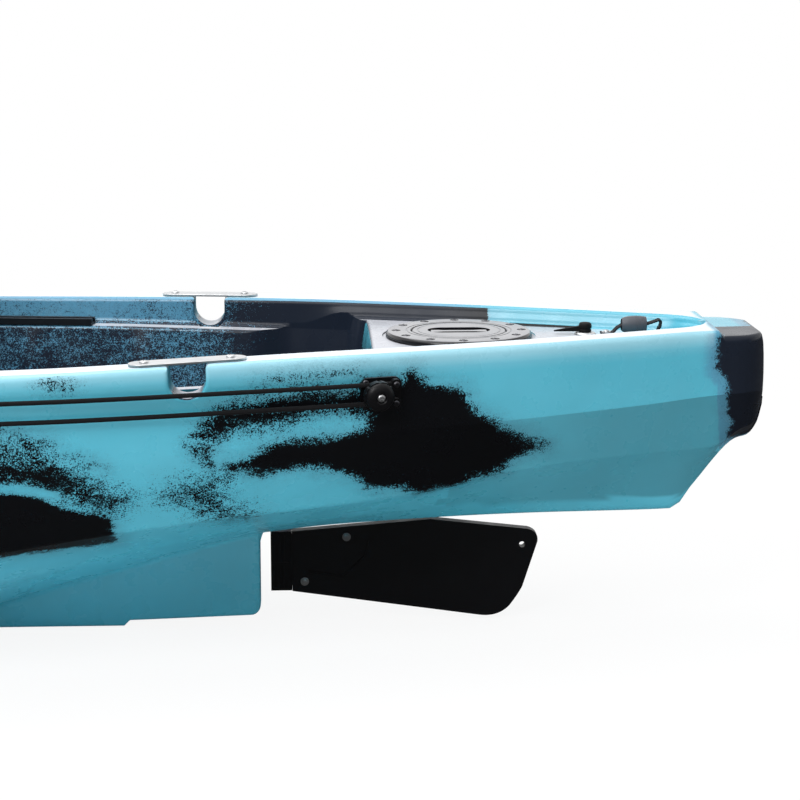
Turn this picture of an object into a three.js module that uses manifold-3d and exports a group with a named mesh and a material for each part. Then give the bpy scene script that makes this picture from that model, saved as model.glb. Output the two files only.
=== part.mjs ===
// Sit-on-top pedal kayak: moulded hull with a skeg and an under-hull rudder, stern deck
// fittings, paddle keeper, front hatch, frame seat and a raised propeller drive.
// Millimetres. +X points to the bow, +Y to port, +Z up, z = 0 is the flat of the keel.
// Stations are distances forward of the stern end.
import * as THREE from 'three'
import { mergeVertices } from 'three/addons/utils/BufferGeometryUtils.js'
import Module from 'manifold-3d'

const wasm = await Module()
wasm.setup()

// Driving dimensions of the hull
const length = 3600
const beam = 800
const rimHeight = 431
const wall = 4.5
const gap = 0.3
const rimWidth = 52
const rimRound = 10
const ledgeDrop = 44
const ledgeWidth = 36
const platformDrop = 26
const platformCrown = 8
const tipDrop = 8
const tipLength = 72
const skegWidth = 44
const skegEnd = 712
const skegStep = 8
const bowDeckHeight = 440

// Wells cut in the deck
const platformFrom = 86
const tankwellFrom = 556
const tankwellTo = 1235
const tankwellFloor = 255
const cockpitFrom = 1345
const cockpitTo = 2840
const seatBayTo = 1790
const seatShelf = 300
const seatBayHalf = 268
const footwellFloor = 150
const footwellHalf = 245
const channelHalf = 140
const wellDraft = 24
const scupperRadius = 13

// Notches in the rim and the plates that bridge them
const notchAt = 791.5
const notchWidth = 46
const notchDepth = 42
const bridgeLength = 150
const bridgeWidth = 32
const bridgeThick = 3
const bridgeScrewSpacing = 110

// Round deck plate
const plateAt = 430
const plateRadius = 102.5
const plateHeight = 9
const plateScrewCircle = 89
const plateScrews = 12
const lidRadius = 66
const plateSides = 20
const mouthRadius = 76

// Gear tracks on the tankwell ledges
const trackFrom = 968
const trackLength = 280
const trackWidth = 25
const trackHeight = 10

// Paddle keeper on the port side
const keeperAt = 556
const keeperZ = rimHeight - 50
const keeperFront = 1180
const knobRadius = 20
const cordRadius = 3
const cordSpread = 12.5

// Rudder
const rudderAxis = 683
const stockRadius = 9
const stockBottom = 46
const bladeThick = 16
const tangThick = 6
const bushRadius = 13
const tubeRadius = 20
const tubeTop = 228
const tillerHeight = 14

// Front hatch
const hatchFrom = 2950
const hatchLength = 290
const hatchHalfAft = 150
const hatchHalfFore = 112
const lidOverlap = 22
const lidHeight = 26
const sealThick = 6
const hingePinRadius = 3

// Seat
const seatTube = 22
const seatLength = 400
const seatWidth = 460
const seatFrom = 1372
const backHeight = 330
const backLean = 12
const cushionThick = 46

// Propeller drive, laid out in its lowered position round its pivot pin
const pivotAt = 2330
const pivotHeight = 215
const legOffset = 147
const crankHeight = 262
const propDepth = 345
const crankLength = 165
const slotFrom = 1810
const slotTo = 2270
const slotHalf = 52
const gearModule = 2
const crankTeeth = 30
const legTeeth = 10
const lowerTeeth = 20
const propTeeth = 10
const gearFace = 9
const shaftRadius = 6
const propRadius = 120

// Heights that follow from the rim
const ledgeZ = rimHeight - ledgeDrop
const platformZ = rimHeight - platformDrop
const rimClear = rimHeight + 120
const plateSeatZ = platformZ + 6

// Materials
function finish(color, roughness, metalness = 0) {
  return new THREE.MeshStandardMaterial({ color, roughness, metalness })
}
const turquoise = () => finish(0x4fb3cf, 0.35)
const blackPlastic = () => finish(0x17181a, 0.45)
const blackRubber = () => finish(0x1c1c1e, 0.85)
const greyRubber = () => finish(0x6d7078, 0.6)
const stainless = () => finish(0xb9bcc0, 0.3, 1)
const aluminium = () => finish(0xa7abb0, 0.4, 1)
const blackAlloy = () => finish(0x202226, 0.5, 0.6)
const webbing = () => finish(0x1b1b20, 0.9)
const meshCloth = () => finish(0x2b2f36, 0.95)

const kayak = new THREE.Group()
const stern = new THREE.Group()
stern.position.x = -length / 2
kayak.add(stern)

function add(name, geometry, material, parent = stern) {
  const mesh = new THREE.Mesh(geometry, material)
  mesh.name = name
  parent.add(mesh)
  return mesh
}

// Solid geometry helpers
function toSolid(geometry) {
  const bare = geometry.clone()
  bare.deleteAttribute('normal')
  bare.deleteAttribute('uv')
  const merged = mergeVertices(bare, 1e-4)
  const vertProperties = new Float32Array(merged.attributes.position.array)
  const triVerts = new Uint32Array(merged.index.array)
  return new wasm.Manifold(new wasm.Mesh({ numProp: 3, vertProperties, triVerts }))
}

function toGeometry(solid) {
  const mesh = solid.getMesh()
  const geometry = new THREE.BufferGeometry()
  geometry.setAttribute('position', new THREE.BufferAttribute(new Float32Array(mesh.vertProperties), 3))
  geometry.setIndex([...mesh.triVerts])
  return geometry
}

function cut(base, ...tools) {
  return toGeometry(tools.reduce((solid, tool) => solid.subtract(toSolid(tool)), toSolid(base)))
}

function join(first, ...others) {
  return toGeometry(others.reduce((solid, other) => solid.add(toSolid(other)), toSolid(first)))
}

function keep(base, tool) {
  return toGeometry(toSolid(base).intersect(toSolid(tool)))
}

function box(x, y, z, cx = 0, cy = 0, cz = 0) {
  return new THREE.BoxGeometry(x, y, z).translate(cx, cy, cz)
}

// Upright cylinder from z = 0 up
function post(radius, height, sides = 24) {
  return new THREE.CylinderGeometry(radius, radius, height, sides).rotateX(Math.PI / 2).translate(0, 0, height / 2)
}

function rodX(radius, from, to, sides = 16) {
  return post(radius, to - from, sides).rotateY(Math.PI / 2).translate(from, 0, 0)
}

function rodY(radius, from, to, sides = 16) {
  return post(radius, to - from, sides).rotateX(-Math.PI / 2).translate(0, from, 0)
}

function lathe(points, sides = 24) {
  const turned = new THREE.LatheGeometry(points.map(([r, z]) => new THREE.Vector2(r, z)), sides)
  const index = [...turned.index.array]
  if (volume([...turned.attributes.position.array], index) < 0) turned.setIndex(index.reverse())
  return turned.rotateX(Math.PI / 2)
}

function outline(points) {
  return new THREE.Shape(points.map(([x, y]) => new THREE.Vector2(x, y)))
}

// Extrusion of an x-y outline upwards from z = 0
function plate(shape, thick, curveSegments = 8) {
  return new THREE.ExtrudeGeometry(shape, { depth: thick, bevelEnabled: false, curveSegments })
}

// Extrusion of an x-z outline across the hull, centred on y = 0
function sideways(shape, width, curveSegments = 8) {
  return plate(shape, width, curveSegments).rotateX(Math.PI / 2).translate(0, width / 2, 0)
}

// Outline with round ends, centred on the origin
function slotShape(total, width) {
  const shape = new THREE.Shape()
  const r = width / 2
  const half = total / 2 - r
  shape.absarc(half, 0, r, -Math.PI / 2, Math.PI / 2)
  shape.absarc(-half, 0, r, Math.PI / 2, 1.5 * Math.PI)
  shape.closePath()
  return shape
}

function roundedShape(halfX, halfY, radius) {
  const shape = new THREE.Shape()
  shape.absarc(halfX - radius, halfY - radius, radius, 0, Math.PI / 2)
  shape.absarc(radius - halfX, halfY - radius, radius, Math.PI / 2, Math.PI)
  shape.absarc(radius - halfX, radius - halfY, radius, Math.PI, 1.5 * Math.PI)
  shape.absarc(halfX - radius, radius - halfY, radius, 1.5 * Math.PI, 2 * Math.PI)
  shape.closePath()
  return shape
}

// Closed skin over rings of equal point count, capped at both ends
function loft(rings) {
  const count = rings[0].length
  const positions = rings.flat().flatMap((p) => [p.x, p.y, p.z])
  const index = []
  for (let i = 0; i + 1 < rings.length; i += 1) {
    for (let j = 0; j < count; j += 1) {
      const a = i * count + j
      const b = i * count + (j + 1) % count
      index.push(a, b, b + count, a, b + count, a + count)
    }
  }
  for (const [ring, start] of [[rings[0], 0], [rings.at(-1), (rings.length - 1) * count]]) {
    const middle = ring.reduce((sum, p) => sum.add(p), new THREE.Vector3()).divideScalar(count)
    const centre = positions.length / 3
    positions.push(middle.x, middle.y, middle.z)
    for (let j = 0; j < count; j += 1) {
      const edge = [start + j, start + (j + 1) % count]
      if (start === 0) edge.reverse()
      index.push(centre, ...edge)
    }
  }
  const geometry = new THREE.BufferGeometry()
  geometry.setAttribute('position', new THREE.Float32BufferAttribute(positions, 3))
  geometry.setIndex(volume(positions, index) < 0 ? index.reverse() : index)
  return geometry
}

function volume(positions, index) {
  const corner = (i) => new THREE.Vector3().fromArray(positions, 3 * i)
  let sum = 0
  for (let i = 0; i < index.length; i += 3) {
    sum += corner(index[i]).dot(corner(index[i + 1]).cross(corner(index[i + 2])))
  }
  return sum
}

// Smooth curve through knots that never overshoots them
function fair(knots) {
  const slopes = knots.slice(1).map(([x, y], i) => (y - knots[i][1]) / (x - knots[i][0]))
  const tangents = knots.map((knot, i) => {
    if (i === 0) return slopes[0]
    if (i === knots.length - 1) return slopes.at(-1)
    const product = slopes[i - 1] * slopes[i]
    return product <= 0 ? 0 : 2 * product / (slopes[i - 1] + slopes[i])
  })
  return (x) => {
    const last = knots.length - 2
    const i = Math.min(last, Math.max(0, knots.findIndex(([edge]) => edge > x) - 1))
    const at = x >= knots.at(-1)[0] ? last : i
    const [x0, y0] = knots[at]
    const [x1, y1] = knots[at + 1]
    const span = x1 - x0
    const t = Math.min(1, Math.max(0, (x - x0) / span))
    const rise = y0 * (1 + 2 * t) * (1 - t) ** 2 + y1 * t * t * (3 - 2 * t)
    return rise + span * t * (1 - t) * (tangents[at] * (1 - t) - tangents[at + 1] * t)
  }
}

function blend(from, to, x) {
  const t = Math.min(1, Math.max(0, (x - from) / (to - from)))
  return t * t * (3 - 2 * t)
}

// Hull lines: half beam as a share of the greatest, and heights, along the hull
const sternRound = 60
const beamShare = fair([[sternRound, 0.225], [104, 0.245], [200, 0.335], [400, 0.518], [700, 0.73],
  [1000, 0.89], [1400, 0.98], [1900, 1], [length - 1200, 0.97], [length - 800, 0.845],
  [length - 500, 0.67], [length - 200, 0.375], [length - 50, 0.155], [length, 0.03]])
const bottomLine = fair([[0, 322], [3, 310], [10, 286], [24, 270], [40, 266], [102, 199], [129, 167],
  [340, 163], [584, 152], [704, 140], [800, 118], [940, 82], [1080, 42], [1200, 8], [1270, 0],
  [length - 600, 0], [length - 450, 8], [length - 300, 40], [length - 180, 110], [length - 90, 210],
  [length - 30, 320], [length, 420]])
const sheerLine = fair([[0, rimHeight - 86], [4, rimHeight - 56], [9, rimHeight - 19], [18, rimHeight - 3],
  [40, rimHeight], [600, rimHeight], [1000, rimHeight - 5.5], [1800, rimHeight - 11],
  [length - 1100, rimHeight - 3], [length - 750, bowDeckHeight], [length - 260, bowDeckHeight],
  [length - 100, bowDeckHeight + 22], [length - 20, bowDeckHeight + 30], [length, bowDeckHeight + 15]])
const chineLine = fair([[0, 328], [30, 285], [104, 264], [240, 262], [380, 252], [520, 230], [650, 221],
  [800, 211], [907, 201], [1065, 181], [1400, 140], [1800, 118], [length - 1200, 112],
  [length - 700, 140], [length - 400, 200], [length - 150, 300], [length, 430]])
const knuckleLine = fair([[0, 335], [30, 343], [170, 336], [600, 325], [1000, 305], [1800, 285],
  [length - 700, 300], [length, 440]])
const padLine = fair([[0, 10], [150, 30], [700, 30], [1300, 42], [length - 700, 42], [length, 4]])
const chineShare = 0.8
const bushFlange = bushRadius + 5
const bushSeatZ = bottomLine(rudderAxis) - 4
const knuckleTuck = 6

function halfBeam(s) {
  const middle = beam / 2
  if (s >= sternRound) return beamShare(s) * middle
  const rest = (sternRound - s) / sternRound
  return Math.max(0.03, beamShare(sternRound) * Math.sqrt(1 - rest * rest)) * middle
}

// Half section from the keel up to the middle of the deck, as [y, z] points
function halfSection(s) {
  const b = halfBeam(s)
  const bottom = bottomLine(s)
  const top = sheerLine(s)
  const depth = top - bottom
  const pad = Math.min(padLine(s), 0.45 * b)
  const chine = chineShare * b
  const chineZ = THREE.MathUtils.clamp(chineLine(s), bottom + 0.15 * depth, bottom + 0.55 * depth)
  const knuckleZ = THREE.MathUtils.clamp(knuckleLine(s), chineZ + 0.1 * depth, top - 0.2 * depth)
  const side = b - Math.min(knuckleTuck, 0.05 * b)
  const round = Math.min(rimRound, 0.3 * b, 0.2 * depth)
  const soft = Math.min(0.06 * b, 14)
  return [
    [0, bottom],
    [pad, bottom],
    [(pad + chine) / 2, (bottom + chineZ) / 2 - 0.02 * b],
    [chine - soft, chineZ - 0.35 * soft],
    [chine + 0.3 * soft, chineZ + 0.8 * soft],
    [(chine + side) / 2 + 0.01 * b, (chineZ + knuckleZ) / 2],
    [side, knuckleZ],
    [b, top - 2 * round],
    [b - 0.3 * round, top - 0.4 * round],
    [b - round, top],
    [0, top],
  ]
}

function inset(points, by) {
  return points.map(([y, z], i) => {
    const before = points[Math.max(0, i - 1)]
    const after = points[Math.min(points.length - 1, i + 1)]
    const along = new THREE.Vector2(after[0] - before[0], after[1] - before[1]).normalize()
    const shift = [y - by * along.y, z + by * along.x]
    return i === 0 || i === points.length - 1 ? [0, shift[1]] : shift
  })
}

function hullRing(s, by = 0) {
  const half = by ? inset(halfSection(s), by) : halfSection(s)
  const far = half.slice(1, -1).reverse().map(([y, z]) => [-y, z])
  return [...half, ...far].map(([y, z]) => new THREE.Vector3(s, y, z))
}

// Stations of the skin, closer together towards the ends; the hollow stops short of both ends
const hullSteps = 25
const stations = Array.from({ length: hullSteps + 1 }, (_, i) => length * (1 - Math.cos(Math.PI * i / hullSteps)) / 2)
const hollowFrom = 84
const hollowTo = length - 90
const hollowStations = [hollowFrom, ...stations.filter((s) => s > hollowFrom + 10 && s < hollowTo - 10), hollowTo]
const skinStations = [...stations, hollowFrom, hollowTo].sort((a, b) => a - b)
const hullLoft = (at, by = 0) => loft(at.map((s) => hullRing(s, by)))

// Half breadth of the outside at a height on the upper side, on the flat faces between stations
function sideAt(s, z) {
  const next = skinStations.findIndex((at) => at > s)
  const ends = [skinStations[next - 1], skinStations[next]]
  const [aft, fore] = ends.map((at) => {
    const section = halfSection(at)
    const i = section.findIndex((point, k) => k > 4 && point[1] >= z)
    const [y0, z0] = section[i - 1]
    const [y1, z1] = section[i]
    return y0 + (y1 - y0) * (z - z0) / (z1 - z0)
  })
  return aft + (fore - aft) * (s - ends[0]) / (ends[1] - ends[0])
}

// Well with drafted sides, a rounded plan and a rounded foot; grown by a wall for the hollow
function well({ from, to, half, floor, draft = wellDraft, corner = 50, steps = 4, crown = 0 }, grow = 0) {
  const rings = []
  const first = from - grow
  const last = to + grow
  const radius = corner + grow
  const stations = [0, 0.1, 0.4, 1].map((t) => first + radius * t)
  for (let i = 1; i < steps; i += 1) stations.push(first + radius + (last - first - 2 * radius) * i / steps)
  stations.push(...[1, 0.4, 0.1, 0].map((t) => last - radius * t))
  for (const s of stations) {
    const away = Math.max(0, 1 - Math.min(s - first, last - s) / radius)
    const narrow = radius * (1 - Math.sqrt(1 - away * away))
    const h = half(s) + grow - narrow
    const foot = 0.6 * draft
    const bottom = floor - grow
    const sides = [[h - draft - foot, bottom], [h - draft, bottom + foot], [h, rimClear]]
    const other = sides.map(([y, z]) => [-y, z]).reverse()
    const middle = crown ? [[0, bottom + crown]] : []
    rings.push([...middle, ...sides, ...other].map(([y, z]) => new THREE.Vector3(s, y, z)))
  }
  return loft(rings)
}

const insideRim = (s) => halfBeam(s) - rimWidth
const ledgeInboard = ledgeWidth / 2 + 5.5

const wells = [
  { from: platformFrom, to: tankwellFrom + 20, half: insideRim, floor: platformZ, draft: 4, corner: 46, crown: platformCrown, steps: 3 },
  { from: tankwellFrom, to: cockpitTo + 14, half: insideRim, floor: ledgeZ, draft: 4, corner: 24, steps: 7 },
  {
    from: tankwellFrom, to: tankwellTo, floor: tankwellFloor, corner: 28,
    half: (s) => insideRim(s) - ledgeWidth * blend(tankwellFrom + 110, tankwellFrom + 175, s) - 2,
  },
  { from: cockpitFrom, to: seatBayTo, half: () => seatBayHalf, floor: seatShelf, draft: 8, corner: 36, steps: 2 },
  {
    from: cockpitFrom + 4, to: cockpitTo, floor: footwellFloor, corner: 44, steps: 6,
    half: (s) => channelHalf + (footwellHalf - channelHalf) * blend(seatBayTo, seatBayTo + 90, s)
      - 50 * blend(cockpitTo - 500, cockpitTo, s),
  },
]

// Through slot for the drive leg, and the scupper drains
function driveSlot(grow = 0) {
  const total = slotTo - slotFrom + 2 * grow
  const shape = slotShape(total, 2 * (slotHalf + grow))
  return plate(shape, footwellFloor + 40, 6).translate((slotFrom + slotTo) / 2, 0, -20)
}

const scuppers = [[1170, 150], [1170, -150], [2520, 120], [2520, -120]]
function drains(grow = 0) {
  return scuppers.map(([s, y]) => post(scupperRadius + grow, tankwellFloor + 30, 8).translate(s, y, -10))
}

// U-shaped notch across the rim on one side
function notch(side, grow = 0) {
  const r = notchWidth / 2 + grow
  const bottom = sheerLine(notchAt) - notchDepth - grow
  const shape = new THREE.Shape()
  shape.moveTo(r, rimClear)
  shape.lineTo(r, bottom + r)
  shape.absarc(0, bottom + r, r, 0, -Math.PI, true)
  shape.lineTo(-r, rimClear)
  shape.closePath()
  const middle = halfBeam(notchAt) - rimWidth / 2
  return sideways(shape, rimWidth + 30, 5).translate(notchAt, side * middle, 0)
}

// Skeg fin under the rising run of the hull
function skeg() {
  const shape = new THREE.Shape()
  const corner = 14
  const bottom = skegStep + 2
  shape.moveTo(1290, 0)
  shape.lineTo(906, 0)
  shape.lineTo(898, skegStep)
  shape.lineTo(skegEnd + corner, bottom + 3)
  shape.quadraticCurveTo(skegEnd, bottom + 3, skegEnd, bottom + corner)
  shape.lineTo(skegEnd, 112)
  shape.quadraticCurveTo(skegEnd, 128, skegEnd - 14, 150)
  shape.lineTo(1290, 30)
  shape.closePath()
  return sideways(shape, skegWidth, 4)
}

// Ramp and lowered top of the stern tip
function tipCut() {
  const top = rimHeight - tipDrop
  const shape = outline([[-20, top], [tipLength, top], [tipLength + tipDrop + 6, rimHeight + 6],
    [tipLength + tipDrop + 6, rimClear], [-20, rimClear]])
  return sideways(shape, 400)
}

function hatchShape(grow) {
  const fore = hatchHalfFore + grow
  const aft = hatchHalfAft + grow
  const from = -grow
  const to = hatchLength + grow
  const bend = 40 + grow
  const shape = new THREE.Shape()
  shape.moveTo(from + bend, -aft)
  shape.lineTo(to - bend, -fore)
  shape.quadraticCurveTo(to, -fore, to, bend - fore)
  shape.lineTo(to, fore - bend)
  shape.quadraticCurveTo(to, fore, to - bend, fore)
  shape.lineTo(from + bend, aft)
  shape.quadraticCurveTo(from, aft, from, aft - bend)
  shape.lineTo(from, bend - aft)
  shape.quadraticCurveTo(from, -aft, from + bend, -aft)
  return shape
}

// Hinge lugs moulded on the bow deck
const hingeAt = hatchFrom + hatchLength + lidOverlap + 14
const hingeZ = bowDeckHeight + 12
const lugSpread = 60
function hingeLug(y) {
  const shape = new THREE.Shape()
  shape.moveTo(-10, bowDeckHeight - 2)
  shape.lineTo(10, bowDeckHeight - 2)
  shape.absarc(0, hingeZ, 8, 0, Math.PI)
  shape.closePath()
  return sideways(shape, 12, 6).translate(hingeAt, y, 0)
}

// Flush rod holders behind the seat
const rodHolderAt = tankwellTo + 49
const rodHolderSide = 262
const rodHolderRake = 10
const rodTubeRadius = 24
const rodTubeLength = 150
function raked(geometry, side) {
  const lean = THREE.MathUtils.degToRad(-rodHolderRake)
  return geometry.rotateY(lean).translate(rodHolderAt, side * rodHolderSide, ledgeZ)
}

// Hull: outer skin less wells, slots and holes, with a hollow one wall inside all of them
function hull() {
  const outer = join(hullLoft(skinStations), skeg(), hingeLug(lugSpread), hingeLug(-lugSpread))
  const notches = (grow) => [notch(1, grow), notch(-1, grow)]
  const cutters = (grow) => [...wells.map((w) => well(w, grow)), driveSlot(grow), ...drains(grow),
    ...notches(grow)]
  const rudderTube = post(tubeRadius, tubeTop - 100, 12).translate(rudderAxis, 0, 100)
  const hollow = cut(hullLoft(hollowStations, wall), ...cutters(wall), rudderTube)
  const plateSeat = post(plateRadius + 5, plateSeatZ - platformZ + wall, plateSides).translate(plateAt, 0, platformZ - wall)
  const mouths = [
    post(mouthRadius + 2 * gap, 40, plateSides).translate(plateAt, 0, platformZ - 20),
    plate(hatchShape(0), 40, 3).translate(hatchFrom, 0, bowDeckHeight - 20),
    post(bushRadius + 2 * gap, tubeTop, 12).translate(rudderAxis, 0, 60),
    post(bushFlange + 3 * gap, 30, 12).translate(rudderAxis, 0, bushSeatZ - 30),
    rodY(hingePinRadius + gap, -90, 90, 8).translate(hingeAt, 0, hingeZ),
  ]
  const rodHoles = [1, -1].map((side) => raked(post(rodTubeRadius + 2 * gap, 90, 14).translate(0, 0, -60), side))
  const moulded = cut(join(cut(outer, ...cutters(0), tipCut()), plateSeat),
    post(plateRadius + 5, 60, plateSides).translate(plateAt, 0, plateSeatZ))
  return cut(moulded, hollow, ...mouths, ...rodHoles)
}

// The hull is one moulding, given as six lengths so that each of its wells keeps its own walls
const hullLengths = [['stern', plateAt + plateRadius + 9], ['tankwell', cockpitFrom - 19], ['seat', slotFrom - 8],
  ['slot', slotTo + 12], ['footwell', cockpitTo + 30], ['bow', length + 20]]
function hullNodes() {
  const whole = toSolid(hull())
  let from = -20
  for (const [name, to] of hullLengths) {
    const slab = box(to - from - gap, 2 * beam, 2 * length, (from + to) / 2)
    add(`hull_${name}`, toGeometry(whole.intersect(toSolid(slab))), turquoise())
    from = to
  }
}
hullNodes()

// Group whose local x runs from one point to another and whose local z leans upwards
function along(a, b, upward = new THREE.Vector3(0, 0, 1)) {
  const x = b.clone().sub(a).normalize()
  const y = upward.clone().cross(x).normalize()
  const z = x.clone().cross(y)
  const holder = new THREE.Group()
  holder.applyMatrix4(new THREE.Matrix4().makeBasis(x, y, z))
  holder.position.copy(a).add(b).multiplyScalar(0.5)
  stern.add(holder)
  return holder
}

function holderAt(x, y, z, parent = stern) {
  const holder = new THREE.Group()
  holder.position.set(x, y, z)
  parent.add(holder)
  return holder
}

// Pan head screw standing on z = 0
function panHead(radius = 4.5, height = 2.6, sides = 6) {
  return lathe([[0, 0], [radius, 0], [radius, 0.5 * height], [0.6 * radius, height], [0, height]], sides)
}
const headSink = 0.3

// Round deck plate: flange, seal, twist lid and its ring of screws
function deckPlate() {
  const holder = holderAt(plateAt, 0, plateSeatZ + gap)
  const lip = 10
  const spigot = 14
  const lipInner = lidRadius - lip
  const bore = (lidRadius + gap) / Math.cos(Math.PI / plateSides)
  const sealTop = 4
  const lipZ = -spigot + sealTop
  const flange = lathe([[bore, plateHeight], [plateRadius - 4, plateHeight], [plateRadius, plateHeight - 4],
    [plateRadius, 0], [mouthRadius, 0], [mouthRadius, -spigot], [lipInner, -spigot], [lipInner, lipZ],
    [bore, lipZ], [bore, plateHeight]], plateSides)
  const heads = []
  for (let i = 0; i < plateScrews; i += 1) {
    const turn = 2 * Math.PI * i / plateScrews
    const [x, y] = [plateScrewCircle * Math.cos(turn), plateScrewCircle * Math.sin(turn)]
    heads.push(panHead().translate(x, y, plateHeight - headSink))
  }
  add('deck_plate_flange', join(flange, ...heads), blackPlastic(), holder)
  const sealZ = lipZ + gap
  add('deck_plate_seal', lathe([[lipInner + 2, sealZ], [lidRadius - 1, sealZ], [lidRadius - 1, sealZ + 3],
    [lipInner + 2, sealZ + 3], [lipInner + 2, sealZ]], plateSides), blackRubber(), holder)
  const lidZ = sealZ + 3 + gap
  const disc = lathe([[0, lidZ], [lidRadius, lidZ], [lidRadius, plateHeight - 1], [lidRadius - 1.5, plateHeight],
    [0, plateHeight]], plateSides)
  const gripLength = 88
  const gripWidth = 44
  const pocket = plate(slotShape(gripLength, gripWidth), 20, 6).translate(0, 0, plateHeight - 8)
  const bar = box(gripLength - 16, 12, 7, 0, 0, plateHeight - 5)
  add('deck_plate_lid', join(cut(disc, pocket), bar), blackPlastic(), holder)
}
deckPlate()

// Plates that bridge the rim notches
function bridges() {
  for (const [side, name] of [[1, 'port'], [-1, 'starboard']]) {
    const ends = [-1, 1].map((end) => {
      const s = notchAt + end * bridgeLength / 2
      return new THREE.Vector3(s, side * (halfBeam(s) - rimWidth / 2), sheerLine(s))
    })
    const holder = along(...ends)
    holder.translateZ(2 * gap)
    const heads = [-1, 1].map((end) => panHead(6, 3.4)
      .translate(end * bridgeScrewSpacing / 2, 0, bridgeThick - headSink))
    const strip = plate(slotShape(bridgeLength, bridgeWidth), bridgeThick, 6)
    add(`bridge_plate_${name}`, join(strip, ...heads), stainless(), holder)
  }
}
bridges()

// Gear tracks on the tankwell ledges, with a T-slot along the top
function tracks() {
  const half = trackWidth / 2
  const mouth = 5
  const slotHalfWidth = 8
  const slotFloor = 3
  const lipUnder = trackHeight - 2.5
  const profile = outline([[-half, 0], [half, 0], [half, trackHeight], [mouth, trackHeight], [mouth, lipUnder],
    [slotHalfWidth, lipUnder], [slotHalfWidth, slotFloor], [-slotHalfWidth, slotFloor],
    [-slotHalfWidth, lipUnder], [-mouth, lipUnder], [-mouth, trackHeight], [-half, trackHeight]])
  const bar = () => plate(profile, trackLength).rotateX(Math.PI / 2).rotateZ(Math.PI / 2)
    .translate(-trackLength / 2, 0, 0)
  const inboard = ledgeInboard
  for (const [side, name] of [[1, 'port'], [-1, 'starboard']]) {
    const ends = [trackFrom, trackFrom + trackLength]
      .map((s) => new THREE.Vector3(s, side * (insideRim(s) - inboard), ledgeZ + gap))
    const holder = along(...ends)
    const heads = [-0.42, 0, 0.42].map((place) => panHead(4.4, 2.4)
      .translate(place * trackLength, 0, slotFloor - headSink))
    add(`track_${name}`, join(bar(), ...heads), blackAlloy(), holder)
  }
}
tracks()

// Paddle keeper: base with two cord clamps, knob, front eye and the shock cord between them
const clampBack = 25
const baseThick = 4
const cordStandoff = baseThick + cordRadius + 1
function sidePoint(s, z) {
  return new THREE.Vector3(s, sideAt(s, z), z)
}

function sideHolder(s, span) {
  const lean = sidePoint(s, keeperZ + 18).sub(sidePoint(s, keeperZ - 18))
  const holder = along(sidePoint(s - span, keeperZ), sidePoint(s + span, keeperZ), lean)
  holder.translateY(2 * gap)
  return holder
}

// Extrusion outwards from the hull side of an outline in the holder's x-z plane
function outward(shape, thick, segments = 6) {
  return sideways(shape, thick, segments).translate(0, thick / 2, 0)
}

function keeper() {
  const holder = sideHolder(keeperAt, 36)
  const clampRadius = 7
  const clampHeight = cordStandoff + cordRadius + 2
  const neck = 8
  const base = outward(roundedShape(38, 25, 10), baseThick, 3)
  const stem = rodY(neck, 0, clampHeight, 10)
  const clamps = [-1, 1].map((side) => rodY(clampRadius, 0, clampHeight, 10).translate(-clampBack, 0, side * cordSpread))
  const heads = [-1, 1].map((side) => panHead(4.5, 2.6).rotateX(-Math.PI / 2)
    .translate(-clampBack, clampHeight - headSink, side * cordSpread))
  add('keeper_base', join(base, stem, ...clamps, ...heads), blackPlastic(), holder)
  const foot = clampHeight + gap
  const knob = new THREE.Shape()
  const scallops = 8
  for (let i = 0; i < 4 * scallops; i += 1) {
    const turn = 2 * Math.PI * i / (4 * scallops)
    const r = knobRadius - 1.4 * Math.max(0, Math.cos(scallops * turn)) ** 4
    knob[i ? 'lineTo' : 'moveTo'](r * Math.cos(turn), r * Math.sin(turn))
  }
  knob.closePath()
  const crownTop = lathe([[0, 0], [knobRadius - 2, 0], [knobRadius - 3, 4], [knobRadius - 9, 7], [0, 7.5]], 12)
  const body = join(outward(knob, 9), crownTop.rotateX(-Math.PI / 2).translate(0, 9, 0))
  const screwSeat = rodY(6, 14, 40, 10)
  const screw = panHead(5.4, 3.4).rotateX(-Math.PI / 2).translate(0, 14 - headSink, 0)
  add('keeper_knob', join(cut(body, screwSeat), screw).translate(0, foot, 0), blackPlastic(), holder)
  const front = sideHolder(keeperFront, 26)
  const eyeNeck = cordSpread - cordRadius - 1.2
  const eye = join(outward(roundedShape(26, 22, 10), baseThick, 3), rodY(eyeNeck, 0, clampHeight, 12),
    rodY(eyeNeck + 6, 0, 3, 12).translate(0, clampHeight - 0.5, 0))
  add('keeper_front_eye', eye, blackPlastic(), front)
}
keeper()

// Round cord through points, with one ring at each of them
function cordThrough(points, radius, sides = 6) {
  const rings = points.map((p, i) => {
    const next = points[Math.min(i + 1, points.length - 1)]
    const last = points[Math.max(i - 1, 0)]
    const run = next.clone().sub(last).normalize()
    const across = new THREE.Vector3(0, 1, 0).addScaledVector(run, -run.y).normalize()
    const other = run.clone().cross(across)
    return Array.from({ length: sides }, (_, k) => {
      const turn = 2 * Math.PI * k / sides
      return p.clone().addScaledVector(across, radius * Math.cos(turn)).addScaledVector(other, radius * Math.sin(turn))
    })
  })
  return loft(rings)
}

// Shock cord stations from the clamps to the front eye and back
const cordStations = [590, 700, 860, 1020, 1120]
function keeperCord() {
  const point = (s, z) => sidePoint(s, z).add(new THREE.Vector3(0, cordStandoff + 2 * gap, 0))
  const low = keeperZ - cordSpread
  const high = keeperZ + cordSpread
  const first = keeperAt - clampBack + 7 + gap
  const bend = [-0.4, -0.2, 0, 0.2, 0.4].map((k) => point(keeperFront + cordSpread * Math.cos(Math.PI * k),
    keeperZ + cordSpread * Math.sin(Math.PI * k)))
  const out = [first, ...cordStations, keeperFront]
  const route = [...out.map((s) => point(s, low)), ...bend, ...out.reverse().map((s) => point(s, high))]
  add('keeper_cord', cordThrough(route, cordRadius), webbing())
}
keeperCord()

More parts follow.
